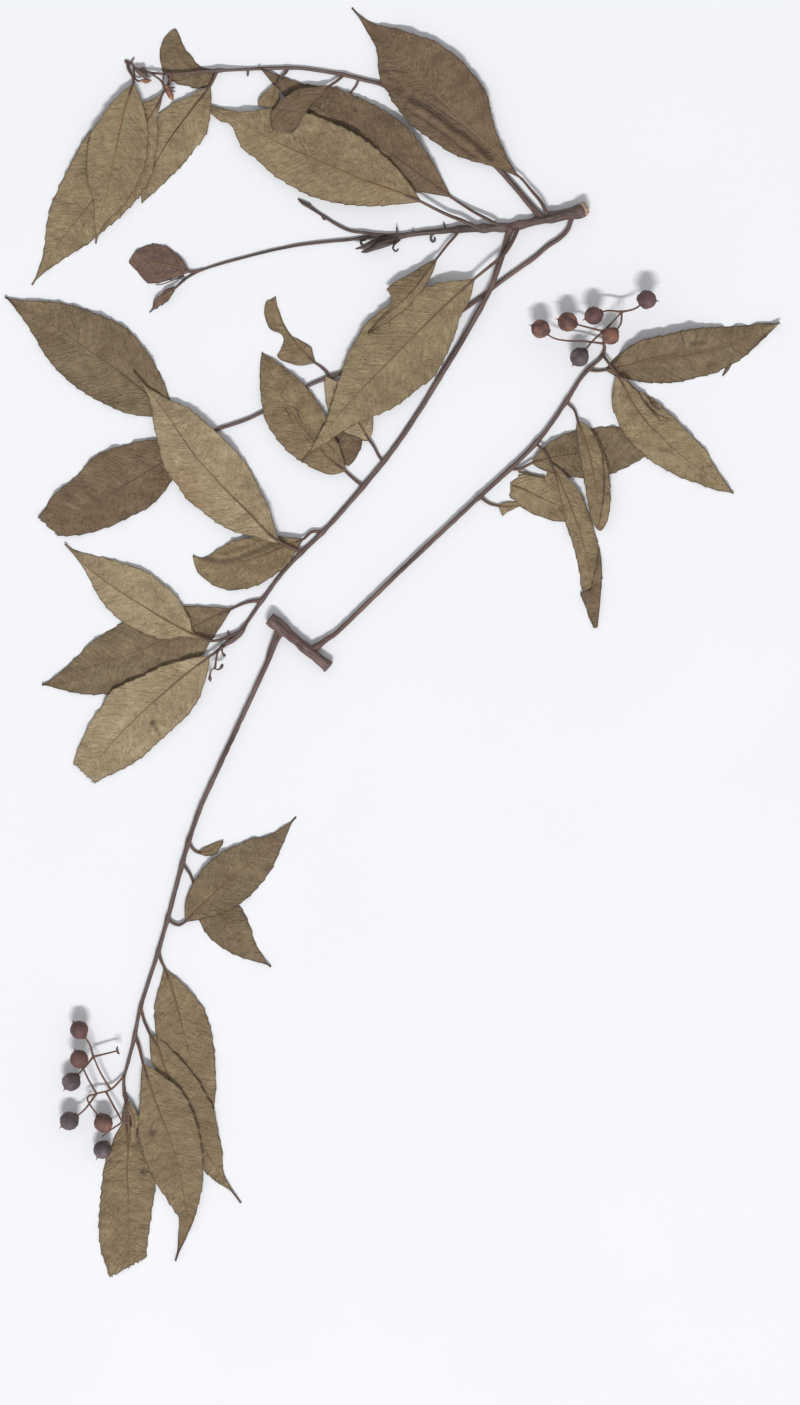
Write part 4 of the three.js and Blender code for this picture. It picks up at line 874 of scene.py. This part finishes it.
def teeth(run, width, rng):
    """The small forward teeth of a margin, as what they add to the half width along the leaf."""
    added = np.zeros(len(run))
    start, end = run[-1] * np.array(TOOTHED_SPAN)
    while start < end:
        pitch = rng.uniform(*TOOTH_SPACING)
        depth = rng.uniform(*TOOTH_DEPTH)
        share = (run - start) / pitch
        here = (share >= 0) & (share < 1)
        added[here] = depth * (share[here] ** TOOTH_POWER - TOOTH_SINK)
        start += pitch
    return added * np.clip(width / TOOTHED_HALF_WIDTH, 0, 1)


def grown_edges(leaf, rib, rng):
    """Left and right margins from a blade's half widths, corrected by the places read on its outline."""
    run = lengths(rib)
    share = run / run[-1]
    ahead = headings(rib)
    left = np.column_stack((-ahead[:, 1], ahead[:, 0]))
    rise = (share / leaf.peak) ** (leaf.taper * leaf.peak)
    fall = ((1 - share) / (1 - leaf.peak)) ** (leaf.taper * (1 - leaf.peak))
    foot = FOOT_HALF_WIDTH * np.clip(1 - share / FOOT_SHARE, 0, 1)
    first, last = READ_SPAN
    edges = []
    for full_width, sign in zip(leaf.wide, (1, -1)):
        width = full_width * rise * fall
        known = []
        for point in to_mm(leaf.margin) if leaf.margin else ():
            i = np.argmin(np.linalg.norm(rib - point, axis=1))
            out = sign * float(np.dot(point - rib[i], left[i]))
            if out > LEAST_OUT and first < share[i] < last:
                known.append((share[i], out / width[i]))
        if known:
            shares, ratios = zip(*sorted(known))
            ratio = np.interp(share, shares, np.clip(ratios, LEAST_RATIO, leaf.loose))
            width = width * soften(ratio, round(RATIO_SOFTENING / BLADE_STEP))
        width = width + teeth(run, width, rng)
        width = np.maximum(np.maximum(width, TIP_HALF_WIDTH), foot)
        edges.append(rib + sign * left * width[:, None])
    return edges


def drawn_edges(leaf, rib):
    """Left and right margins as they were read, in as many places as the rib."""
    lines = [to_mm(edge) for edge in leaf.edges]
    return [at(line, np.linspace(0, lengths(line)[-1], len(rib))) for line in lines]


def shorten(line, torn, rng):
    """The part of a line before a torn edge, in as many points."""
    start, end = to_mm(torn)
    turned = np.cross(end - start, line - start)
    beyond = np.flatnonzero(turned * turned[0] < 0)
    run = lengths(line)
    reach = run[beyond[0]] + rng.uniform(-TORN_ROUGHNESS, TORN_ROUGHNESS) if len(beyond) else run[-1]
    return at(line, np.linspace(0, reach, len(line)))


def blade_grid(leaf, rng):
    """Places of a blade in rows along it, and how far each column is across it: -1 right, 1 left."""
    rib = curve(to_mm(leaf.rib), BLADE_STEP)
    columns = FINE_COLUMNS if leaf.ridges or leaf.stains_and_shade else BLADE_COLUMNS
    across = np.sin(np.linspace(-math.pi / 2, math.pi / 2, columns))
    left, right = drawn_edges(leaf, rib) if leaf.edges else grown_edges(leaf, rib, rng)
    lines = [rib + (left - rib) * max(out, 0) + (right - rib) * max(-out, 0) for out in across]
    if leaf.torn:
        lines = [shorten(line, leaf.torn, rng) for line in lines]
    return np.stack(lines, axis=1), across


def solid_heights(solid, grid, across):
    """The height of the leaf's solid at each point of the blade, read on a coarser grid."""
    columns = len(across)
    span = lengths(grid[:, columns // 2])[-1]
    rows = np.linspace(0, len(grid) - 1, max(4, round(span / HEIGHT_STEP))).astype(int)
    picked = np.linspace(3, BLADE_COLUMNS - 4, HEIGHT_COLUMNS) * (columns - 1) / (BLADE_COLUMNS - 1)
    picked = picked.round().astype(int)
    read = soften(np.column_stack([solid.along(grid[rows, k]) for k in picked]), 1)
    filled = np.column_stack([np.interp(np.arange(len(grid)), rows, column) for column in read.T])
    return np.array([np.interp(across, across[picked], row) for row in filled])


def blade_heights(leaf, solid, grid, across, rng):
    """The height of the blade's middle: its solid's, made wavy, folded, drooping and ridged."""
    x, y = grid[..., 0], grid[..., 1]
    z = solid_heights(solid, grid, across)
    for height, spacing in WAVES:
        z = z + height * ripples(x, y, rng, spacing)
    z = z + leaf.rough * across**2 * ripples(x, y, rng, MARGIN_WAVE_SPACING) + leaf.lift
    z = z + (leaf.fold * np.abs(across) if leaf.fold > 0 else leaf.fold * (np.abs(across) - 1))
    for depth, towards in zip(leaf.droop, (across, -across)):
        z = z - depth * np.clip(towards, 0, 1) ** DROOP_POWER
    for spots, height, reach in leaf.ridges:
        z = z + height * near(grid, spots, reach)
    return z


def blade_stain_and_shade(leaf, grid):
    """How dark the blade is painted, and how pale where negative: real stains, and painted shade along some
    folds and midribs, the deepest at each point.
    """
    stain_and_shade = np.zeros(grid.shape[:-1])
    for spots, depth, reach in leaf.stains_and_shade:
        spot = depth * near(grid, spots, reach)
        stain_and_shade = np.where(np.abs(spot) > np.abs(stain_and_shade), spot, stain_and_shade)
    return stain_and_shade


def twice(values):
    """Values for the upper and then for the lower side of a sheet."""
    return np.tile(values, (2, 1))


def add_leaf(piece, leaf, solid, seed):
    """Adds a leaf: a thin blade over its solid's middle, and its stalk that runs on as the midrib."""
    rng = np.random.default_rng(seed)
    grid, across = blade_grid(leaf, rng)
    z = blade_heights(leaf, solid, grid, across, rng)
    thick = BLADE_THICKNESS - (BLADE_THICKNESS - MARGIN_THICKNESS) * across**4
    z = np.maximum(z, LOWEST + thick / 2)
    upper = np.dstack((grid, z + thick / 2)).reshape(-1, 3)
    lower = np.dstack((grid, z - thick / 2)).reshape(-1, 3)
    middle = grid[:, len(across) // 2]
    along = np.repeat(lengths(middle)[:, None], len(across), axis=1)
    out = np.linalg.norm(grid - middle[:, None], axis=2) * np.sign(across)
    nearer_edge = np.where((across > 0)[:, None], grid[:, -1:], grid[:, :1])
    to_margin = np.linalg.norm(grid - nearer_edge, axis=2)
    if leaf.torn:
        to_margin = np.minimum(to_margin, along[-1] - along)
    places = np.dstack((out, along)).reshape(-1, 2) * MM
    margin = np.column_stack((to_margin.ravel() * MM, (along / along[-1]).ravel()))
    piece.add(
        np.vstack((upper, lower)),
        sheet_faces(*z.shape),
        blade_materials[leaf.tone],
        twice(places),
        twice(margin),
        np.tile(blade_stain_and_shade(leaf, grid).ravel(), 2),
    )
    if not leaf.bare:
        add_rib(piece, leaf, solid, np.column_stack((middle, z[:, len(across) // 2])))
    add_creases(piece, leaf, upper)


def add_creases(piece, leaf, upper):
    """Adds the dark lines of sharp folds and tracks, laid on the blade's upper points. At the folds their
    darkness is partly painted shade.
    """
    for path, radius in leaf.creases:
        line = curve(to_mm(path), BLADE_STEP)
        nearest = [np.argmin(np.linalg.norm(upper[:, :2] - place, axis=1)) for place in line]
        heights = soften(upper[nearest, 2], 1)
        radii = radius * np.sin(np.linspace(CREASE_END_ANGLE, math.pi - CREASE_END_ANGLE, len(line)))
        line = np.column_stack((line, heights + radii * 0.2))
        piece.add_tube(crease_and_fold_shade, line, radii, CREASE_SIDES, CREASE_FLATNESS)


def stalk_line(leaf, solid):
    """The stalk's line in space: out of the middle of its shoot, then over the leaf's solid."""
    knots = to_mm(leaf.stalk + leaf.rib[:1])
    shoots = np.vstack(centre_lines)
    away = np.linalg.norm(shoots[:, :2] - knots[0], axis=1)
    joint = shoots[away.argmin()]
    joined = away.min() < JOINT_REACH
    if joined:
        knots = np.vstack((joint[:2], knots[1:] if away.min() < 0.5 else knots))
    line = curve(knots, BLADE_STEP)
    heights = soften(solid.along(line), 2)
    if joined:
        heights = heights + (joint[2] - heights[0]) * np.exp(-lengths(line) / JOINT_REACH)
    return np.column_stack((line, heights))


def add_rib(piece, leaf, solid, middle):
    """Adds the leaf's stalk, if it has one, and the midrib that goes on from it, proud of the blade."""
    line = middle[1 : round(len(middle) * RIB_END)].copy()
    run = lengths(middle)
    first, last = RIB_RADII[leaf.face]
    radii = first * (1 - run[1 : len(line) + 1] / run[-1]) ** RIB_POWER + last
    line[:, 2] += radii * RIB_RISE[leaf.face]
    split = 0
    if leaf.stalk:
        stalk = stalk_line(leaf, solid)
        split = len(stalk) + round(len(line) * STALK_SHARE)
        line = np.vstack((stalk, line))
        thick = STALK_RADII[0] + STALK_RADII[1] * sum(leaf.wide)
        radii = np.concatenate((np.linspace(thick, radii[0] + 0.1, len(stalk)), radii))
    line[:, 2] = soften(line[:, 2], 2)
    radii = soften(np.minimum(radii, line[:, 2] - LOWEST), 3)
    rib_material = rib_materials[leaf.rib_tone or ("brown" if leaf.face == "under" else "dark")]
    for part, material in ((slice(0, split + 1), stalk_material), (slice(split, None), rib_material)):
        if len(line[part]) > 2:
            piece.add_tube(material, line[part], radii[part], RIB_SIDES)


def add_parts(piece, whole, solid):
    """Adds the small leaves and loose bits of blade that belong to a larger piece."""
    for k, leaf in enumerate(LEAVES.values()):
        if leaf.part_of == whole:
            add_leaf(piece, leaf, solid, PART_SEED + k)


def make_leaves():
    for seed, (name, leaf) in enumerate(LEAVES.items()):
        if leaf.part_of:
            continue
        piece = Piece(name + "_blade")
        solid = Solid(name)
        add_leaf(piece, leaf, solid, seed)
        add_parts(piece, name, solid)
        piece.finish("leaf_" + leaf.face, name)


def shoot_radii(path, thick, line, feet):
    """Radii along a shoot's line, from the widths of its path, and swollen at the feet of leaves."""
    run = lengths(line)
    knots = (0, run[-1])
    if len(thick) == len(path):
        knots = [run[np.argmin(np.linalg.norm(line - place, axis=1))] for place in to_mm(path)]
    radii = np.interp(run, knots, thick) / 2
    for foot in feet:
        away = np.linalg.norm(line - foot, axis=1)
        if away.min() < FOOT_REACH:
            radii = radii * (1 + NODE_SWELL * np.exp(-((away / NODE_REACH) ** 2)))
    return radii


def add_shoot(piece, solid, path, thick, material, rng, feet=(), cut=False, lift=0):
    """Adds a shoot's tube over its solid's middle, uneven, with thinner ends unless it is cut."""
    line = curve(to_mm(path), SHOOT_STEP)
    run = lengths(line)
    angle = round_angles(SHOOT_SIDES)
    lumps = ripples(run[:, None], 3 * np.cos(angle), rng, LUMP_SIZE)
    flutes = ripples(run[:, None] * FLUTE_STRETCH, 6 * np.sin(angle), rng, FLUTE_SIZE)
    uneven = SHOOT_UNEVENNESS * lumps + SHOOT_UNEVENNESS * flutes
    radii = shoot_radii(path, thick, line, feet)[:, None] * (1 + uneven)
    if not cut:
        radii[[0, -1]] *= np.array(SHOOT_ENDS)[:, None]
    inward = np.clip(np.minimum(run, run[-1] - run) / RAISED_REACH, 0, 1)
    heights = soften(solid.along(line), 4) + lift * inward
    heights = np.maximum(heights, radii.max(axis=1) + LOWEST)
    middle = np.column_stack((line, heights))
    piece.add_tube(material, middle, radii, SHOOT_SIDES)
    return middle


def make_shoots():
    """Makes the shoots, each a first branch with the leaves on it and then its thin ones."""
    feet = to_mm([leaf.stalk[0] for leaf in LEAVES.values() if leaf.stalk])
    for seed, (node, branches) in enumerate(SHOOTS.items()):
        rng = np.random.default_rng(SHOOT_SEED + seed)
        solid = Solid(node)
        piece = Piece(node + "_bark")
        for k, (path, thick, *rusty) in enumerate(branches):
            material = rusty_bract if rusty else woods.get(node, bark)
            own_feet, lift = ((), 0) if k else (feet, RAISED.get(node, 0))
            is_cut = node == "cut_wood"
            centre_lines.append(add_shoot(piece, solid, path, thick, material, rng, own_feet, is_cut, lift))
        if node == "main_stem":
            add_shoot(piece, solid, *CUT_FACE, fresh_wood, rng, cut=True)
        add_parts(piece, node, solid)
        piece.finish("old_wood" if node in woods else "shoot_bark", node)


def make_fruit_stalks():
    for node, lines in FRUIT_STALKS.items():
        piece = Piece(node + "_skin")
        solid = Solid(node)
        for line in lines:
            points = raised(line)
            if points[0, 2] == 0:
                points[0, 2] = np.nanmax([solid.middle(*points[1, :2]), 1.0]) * FRUIT_STALK_DEPTH
            path = curve(points, SHOOT_STEP)
            radii = np.linspace(*FRUIT_STALK_RADII, len(path))
            radii[:3] *= FRUIT_STALK_FOOT
            radii[-3:] *= FRUIT_STALK_TIP
            piece.add_tube(fruit_stalk_skin, path, radii, FRUIT_STALK_SIDES)
        if node == "stalks_left":
            end, source = raised(FALLEN_FRUIT)
            add_calyx(piece, end, facing(end, source), FALLEN_LOBE, np.random.default_rng(CALYX_SEED))
        piece.finish("shoot_bark", node)


def berry_surface(radius, rng):
    """A berry about its own axis, from its stalk end to its dried point."""
    turn = np.linspace(0, math.pi, BERRY_ROWS + 2)[1:-1]
    turn, angle = np.meshgrid(turn, round_angles(BERRY_SIDES), indexing="ij")
    unit = np.stack((np.sin(turn) * np.cos(angle), np.sin(turn) * np.sin(angle), -np.cos(turn)), -1)
    x, y, z = np.moveaxis(unit * radius, -1, 0)
    (broad, broad_size), (fine, fine_size) = BERRY_DENTS
    dents = broad * ripples(x, y + 2 * z, rng, broad_size) + fine * ripples(z, 2 * x, rng, fine_size)
    point = BERRY_POINT[0] / radius * np.exp(-(((math.pi - turn) / BERRY_POINT[1]) ** 2))
    dimple = BERRY_DIMPLE[0] * np.exp(-((turn / BERRY_DIMPLE[1]) ** 2))
    grown = radius * (1 + dents * np.sin(turn) + point - dimple)
    return (unit * grown[..., None]).reshape(-1, 3), ring_faces(*turn.shape)


def facing(centre, source):
    """A turn that points the local Z away from the source."""
    return np.array(Vector(centre - source).to_track_quat("Z", "Y").to_matrix())


def add_husk(piece, line, radii, centre, turned):
    """Adds a dried tip along a line that is turned about a centre."""
    piece.add_tube(husk, np.array(line) @ turned.T + centre, radii, HUSK_SIDES)


def add_calyx(piece, centre, turned, lobe, rng):
    """Adds dried sepals about an axis. A lobe is their distances out and heights, from foot to tip."""
    for k in range(SEPALS):
        angle = 2 * math.pi * k / SEPALS + rng.uniform(-SEPAL_TURN, SEPAL_TURN)
        line = [(out * math.cos(angle), out * math.sin(angle), height) for out, height in lobe]
        add_husk(piece, line, SEPAL_RADII, centre, turned)


def make_berries():
    for seed, (name, (place, radius, source, skin)) in enumerate(BERRIES.items()):
        rng = np.random.default_rng(BERRY_SEED + seed)
        centre, foot = raised((place, source))
        turned = facing(centre, foot)
        piece = Piece(name + "_skin")
        radius *= BERRY_SWELL
        points, faces = berry_surface(radius, rng)
        piece.add(points @ turned.T + centre, faces, berry_skins[skin])
        lobe = [(out, -radius * down) for out, down in BERRY_LOBE]
        add_calyx(piece, centre, turned, lobe, rng)
        spike = [(0, 0, radius * 0.95), (0.05, 0, radius + 0.5), (0.15, 0.05, radius + 1.2)]
        add_husk(piece, spike, SPIKE_RADII, centre, turned)
        piece.finish("berry_skin", name)


def colour(text):
    """A colour written as six hexadecimal digits, made linear."""
    values = [int(text[i : i + 2], 16) / 255 for i in (0, 2, 4)]
    return (*(v / 12.92 if v <= 0.04045 else ((v + 0.055) / 1.055) ** 2.4 for v in values), 1)


class Shader:
    """A material's nodes, added one by one."""

    def __init__(self, name, **constants):
        self.material = bpy.data.materials.new(name)
        self.material.use_nodes = True
        self.tree = self.material.node_tree
        self.surface = self.tree.nodes["Principled BSDF"]
        for socket, value in constants.items():
            self.surface.inputs[socket.replace("_", " ")].default_value = value

    def join(self, socket, value):
        if isinstance(value, bpy.types.NodeSocket):
            self.tree.links.new(value, socket)
        else:
            socket.default_value = value

    def node(self, kind, inputs, **settings):
        node = self.tree.nodes.new("ShaderNode" + kind)
        for setting, value in settings.items():
            setattr(node, setting, value)
        for socket, value in inputs.items():
            self.join(node.inputs[socket], value)
        return node

    def calc(self, operation, *values):
        return self.node("Math", dict(enumerate(values)), operation=operation).outputs[0]

    def times(self, value, factor):
        return self.calc("MULTIPLY", value, factor)

    def total(self, *weighted):
        """The sum of values, each times its weight."""
        total = 0.0
        for value, weight in weighted:
            total = self.calc("MULTIPLY_ADD", value, weight, total)
        return total

    def step(self, value, start, end, high=1.0, low=0.0):
        """Low before the start, high after the end, and smooth between. The end may be below the start."""
        inputs = {0: value, 1: start, 2: end, 3: low, 4: high}
        return self.node("MapRange", inputs, interpolation_type="SMOOTHSTEP").outputs[0]

    def noise(self, place, size, detail=2.0, stretch=(1, 1, 1)):
        """Noise with spots about a size in metres apart."""
        scaled = self.node("Mapping", {"Vector": place, "Scale": stretch}).outputs[0]
        return self.node("TexNoise", {"Vector": scaled, "Scale": 0.6 / size, "Detail": detail}).outputs[0]

    def uv(self, name):
        return self.node("UVMap", {}, uv_map=name).outputs[0]

    def parts(self, vector):
        return self.node("SeparateXYZ", {0: vector}).outputs

    def object_place(self):
        return self.node("TexCoord", {}).outputs["Object"]

    def bump(self, height, depth):
        """Gives the surface a relief of a depth in metres."""
        node = self.node("Bump", {"Height": height, "Distance": depth, "Strength": 1.0})
        self.join(self.surface.inputs["Normal"], node.outputs[0])

    def paint(self, base, *coats):
        """Paints the surface in a colour, and in others over it in turn, each by its own share."""
        tone = colour(base)
        for share, text in coats:
            mixed = self.node("Mix", {0: share, 6: tone, 7: colour(text)}, data_type="RGBA")
            tone = mixed.outputs[2]
        self.join(self.surface.inputs["Base Color"], tone)
        return self.material


def vein_lines(shader, across, along, place):
    """Lateral veins as a pattern that is 1 on a vein, and the arching phase that it follows."""
    out = shader.calc("ABSOLUTE", across)
    wander = shader.noise(place, 0.008, 3.0)
    run = shader.total((along, 1.0), (out, -0.6), (shader.times(out, out), -18.0), (wander, 0.007))
    left_side = shader.calc("GREATER_THAN", across, 0.0)
    phase = shader.total((run, 1 / (VEIN_SPACING * MM)), (left_side, 0.5))
    away = shader.calc("ABSOLUTE", shader.calc("SUBTRACT", shader.calc("FRACT", phase), 0.5))
    return shader.step(away, 0.07, 0.0), phase


def blade_material(name, light, dark, patch, vein, edge):
    """A dried leaf's blade: mottled, veined, finely netted, speckled, stained, with painted shade along
    some folds and midribs, and a dark thin margin that is partly painted shade.
    """
    shader = Shader(name, Roughness=0.62, Specular_IOR_Level=0.28)
    place = shader.object_place()
    across, along, _ = shader.parts(shader.uv("across"))
    to_margin = shader.parts(shader.uv("margin"))[0]
    stain_and_shade = shader.node("Attribute", {}, attribute_name="stain_and_shade").outputs["Fac"]
    broad = shader.noise(place, 0.011, 3.0)
    patches = shader.noise(place, 0.02, 4.0)
    mottle = shader.noise(place, 0.0028, 3.0)
    grain = shader.noise(place, 0.0007, 2.0)
    crinkle = shader.noise(place, 0.0014, 3.0)
    veins, phase = vein_lines(shader, across, along, place)
    veins = shader.times(veins, shader.step(shader.noise(place, 0.007, 2.0), 0.4, 0.7, 0.3))
    flow = shader.node("CombineXYZ", {0: shader.times(phase, 4.2), 1: shader.times(across, 210.0)})
    flowing = {"Vector": flow.outputs[0], "Scale": 1.0, "Detail": 3.0, "Distortion": 1.0}
    streaks = shader.node("TexNoise", flowing).outputs[0]
    cells = shader.node("TexVoronoi", {"Vector": place, "Scale": 1100.0}, feature="DISTANCE_TO_EDGE")
    netting = shader.step(cells.outputs[0], 0.14, 0.02)
    relief = shader.total(
        (veins, 0.5), (netting, 0.1), (mottle, 1.0), (streaks, 1.0), (broad, 1.6), (crinkle, 0.5)
    )
    shader.bump(relief, 0.00075)
    return shader.paint(
        light,
        (shader.step(broad, 0.3, 0.68, 0.75, 0.15), dark),
        (shader.step(mottle, 0.42, 0.7, 0.6), dark),
        (shader.step(mottle, 0.46, 0.3, 0.3), vein),
        (shader.step(patches, 0.56, 0.72, 0.45), patch),
        (shader.step(streaks, 0.5, 0.7, 0.3), vein),
        (shader.step(streaks, 0.5, 0.3, 0.3), dark),
        (shader.times(netting, 0.22), vein),
        (veins, vein),
        (shader.step(grain, 0.4, 0.22, 0.4), vein),
        (shader.step(grain, 0.55, 0.78, 0.4), edge),
        # A dark thin margin: partly the dried edge's own colour, partly painted shade along the edge
        (shader.step(to_margin, 0.0006, 0.00018, 0.6), edge),
        # Real stains, and painted shade along some folds and midribs, darken the blade; negative ones make
        # it paler
        (stain_and_shade, edge),
        (shader.times(stain_and_shade, -1.0), vein),
    )


def bark_material(name, light, dark, rust, depth=0.00012):
    """A dried shoot's skin, wrinkled lengthwise, with paler and redder stretches."""
    shader = Shader(name, Roughness=0.55, Specular_IOR_Level=0.35)
    place = shader.object_place()
    round_and_along = shader.uv("across")
    wrinkles = shader.noise(round_and_along, 0.14, 3.0, (1, 0.12, 1))
    grain = shader.noise(round_and_along, 0.08, 3.0, (1, 0.25, 1))
    blotch = shader.noise(place, 0.006, 3.0)
    flecks = shader.noise(place, 0.0009, 2.0)
    shader.bump(shader.total((wrinkles, 1.0), (flecks, 0.4), (grain, 0.6)), depth)
    return shader.paint(
        dark,
        (shader.step(wrinkles, 0.35, 0.65), light),
        (shader.step(blotch, 0.48, 0.7, 0.7), rust),
        (shader.step(grain, 0.5, 0.68, 0.6), light),
        (shader.step(grain, 0.5, 0.34, 0.6), dark),
        (shader.step(flecks, 0.6, 0.75, 0.5), light),
    )


def berry_material(name, dark, red, bright_and_highlight):
    """A dried berry's thin skin: dark, with redder patches, bright spots that are partly the skin's
    orange-brown and partly a painted highlight, and finely wrinkled.
    """
    shader = Shader(name, Roughness=0.6, Specular_IOR_Level=0.3)
    place = shader.object_place()
    patches = shader.noise(place, 0.0032, 2.0)
    spots = shader.noise(place, 0.0055, 3.0)
    fine = shader.noise(place, 0.0006, 3.0)
    shader.bump(shader.total((fine, 1.0), (patches, 2.0)), 0.00012)
    return shader.paint(
        dark,
        (shader.step(patches, 0.38, 0.6), red),
        # Bright spots: partly the skin's own colour, partly painted highlight
        (shader.step(spots, 0.53, 0.66, 0.9), bright_and_highlight),
        (shader.step(fine, 0.55, 0.75, 0.4), dark),
    )


def plain_material(name, light, dark, size):
    """A small dry part: two tones in uneven spots, with a slight relief."""
    shader = Shader(name, Roughness=0.6)
    spots = shader.noise(shader.object_place(), size, 4.0)
    shader.bump(spots, 0.00008)
    return shader.paint(light, (shader.step(spots, 0.36, 0.64), dark))


def make_ground():
    mesh = bpy.data.meshes.new("ground")
    corners = [(x * GROUND_REACH, y * GROUND_REACH, 0) for x, y in ((-1, -1), (1, -1), (1, 1), (-1, 1))]
    mesh.from_pydata(corners, [], [(0, 1, 2, 3)])
    shader = Shader("ground", Roughness=0.9, Specular_IOR_Level=0.1)
    mesh.materials.append(shader.paint("e4e5e8", (shader.noise(shader.object_place(), 0.05), "e7e8eb")))
    ground = add_object("ground", mesh)


def make_light():
    """An even sky, and a far strip of light, wide across the photograph and narrow along it."""
    world = bpy.data.worlds.new("studio")
    bpy.context.scene.world = world
    world.use_nodes = True
    background = world.node_tree.nodes["Background"]
    background.inputs["Color"].default_value = (0.97, 0.98, 1, 1)
    background.inputs["Strength"].default_value = SKY_STRENGTH
    strip = bpy.data.lights.new("strip", "AREA")
    strip.shape = "RECTANGLE"
    strip.size, strip.size_y = STRIP_SIZE
    strip.energy = STRIP_POWER
    lamp = add_object("strip", strip)
    lean = math.radians(LIGHT_LEAN)
    lamp.location = (0, -STRIP_DISTANCE * math.sin(lean), STRIP_DISTANCE * math.cos(lean))
    lamp.rotation_euler = (lean, 0, 0)
    bpy.context.scene.view_settings.view_transform = "Standard"


def make_camera():
    """A camera straight over the photograph's middle, which shows the ground as large as it does."""
    data = bpy.data.cameras.new("camera")
    data.sensor_fit = "VERTICAL"
    data.lens = data.sensor_height * CAMERA_HEIGHT / (IMAGE_SIZE[1] / PIXELS_PER_MM * MM)
    data.clip_end = 20
    camera = add_object("camera", data)
    x, y = to_mm([(IMAGE_SIZE[0] / 2, IMAGE_SIZE[1] / 2)])[0]
    camera.location = (x * MM, y * MM, CAMERA_HEIGHT)
    bpy.context.scene.camera = camera


# Light, dark and patches of the blade, then its veins and its margin, whose dark rim is partly painted
# shade
BLADE_TONES = {
    "pale": ("a59474", "8b795e", "8e7352", "b8a888", "4e3e2c"),
    "khaki": ("968467", "7c6a4f", "7f6648", "a99876", "4a3a29"),
    "olive": ("8c795c", "726049", "775f43", "9f8d6b", "43352a"),
    "dull": ("807057", "675642", "6e5543", "938063", "3d3026"),
    "russet": ("755e52", "5c473e", "6b4539", "826a5a", "3f2e26"),
    "umber": ("7a6651", "624f3c", "6f5439", "88745b", "382b22"),
}
# Light, dark and rusty
RIB_TONES = {
    "brown": ("83694d", "5f4a36", "74563b"),
    "red": ("8d7050", "6c5139", "7f5d40"),
    "pale": ("8f7759", "6e5841", "7d6347"),
    "dark": ("655140", "45372b", "5a442f"),
}
# Dark, red, and bright spots that are partly a painted highlight
BERRY_TONES = {
    "orange": ("553e3c", "805a4a", "a06a52"),
    "brick": ("543f3f", "6c4a47", "835a50"),
    "brown": ("503d39", "694f46", "856050"),
    "dusk": ("4e3e40", "614749", "725353"),
    "plum": ("4d4344", "5e5053", "726264"),
}

blade_materials = {tone: blade_material("leaf_" + tone, *BLADE_TONES[tone]) for tone in BLADE_TONES}
rib_materials = {tone: bark_material("midrib_" + tone, *RIB_TONES[tone], 0.00006) for tone in RIB_TONES}
berry_skins = {tone: berry_material("berry_" + tone, *BERRY_TONES[tone]) for tone in BERRY_TONES}
# Dark lines along sharp folds, partly painted shade in the folds
crease_and_fold_shade = plain_material("leaf_crease_and_fold_shade", "5b4838", "46372b", 0.0015)
stalk_material = bark_material("leaf_stalk", "6e564c", "43332e", "6a4b3c", 0.00008)
bark = bark_material("shoot_bark", "745f59", "453733", "614842")
woods = {
    "main_stem": bark_material("old_wood", "6a5953", "3a302e", "5e453d", 0.0004),
    "cut_wood": bark_material("cut_wood_bark", "735d57", "3f3230", "684840", 0.0004),
}
fresh_wood = plain_material("cut_face", "b59a80", "86695a", 0.0008)
fruit_stalk_skin = bark_material("fruit_stalk", "765644", "463330", "7d5340", 0.00006)
husk = plain_material("dry_bract", "7d5f50", "4f3a33", 0.0012)
rusty_bract = plain_material("rusty_bract", "96664a", "634034", 0.002)

# The middles of the shoots made so far, which the stalks start from
centre_lines = []

make_camera()
make_light()
make_ground()
make_shoots()
make_leaves()
make_fruit_stalks()
make_berries()
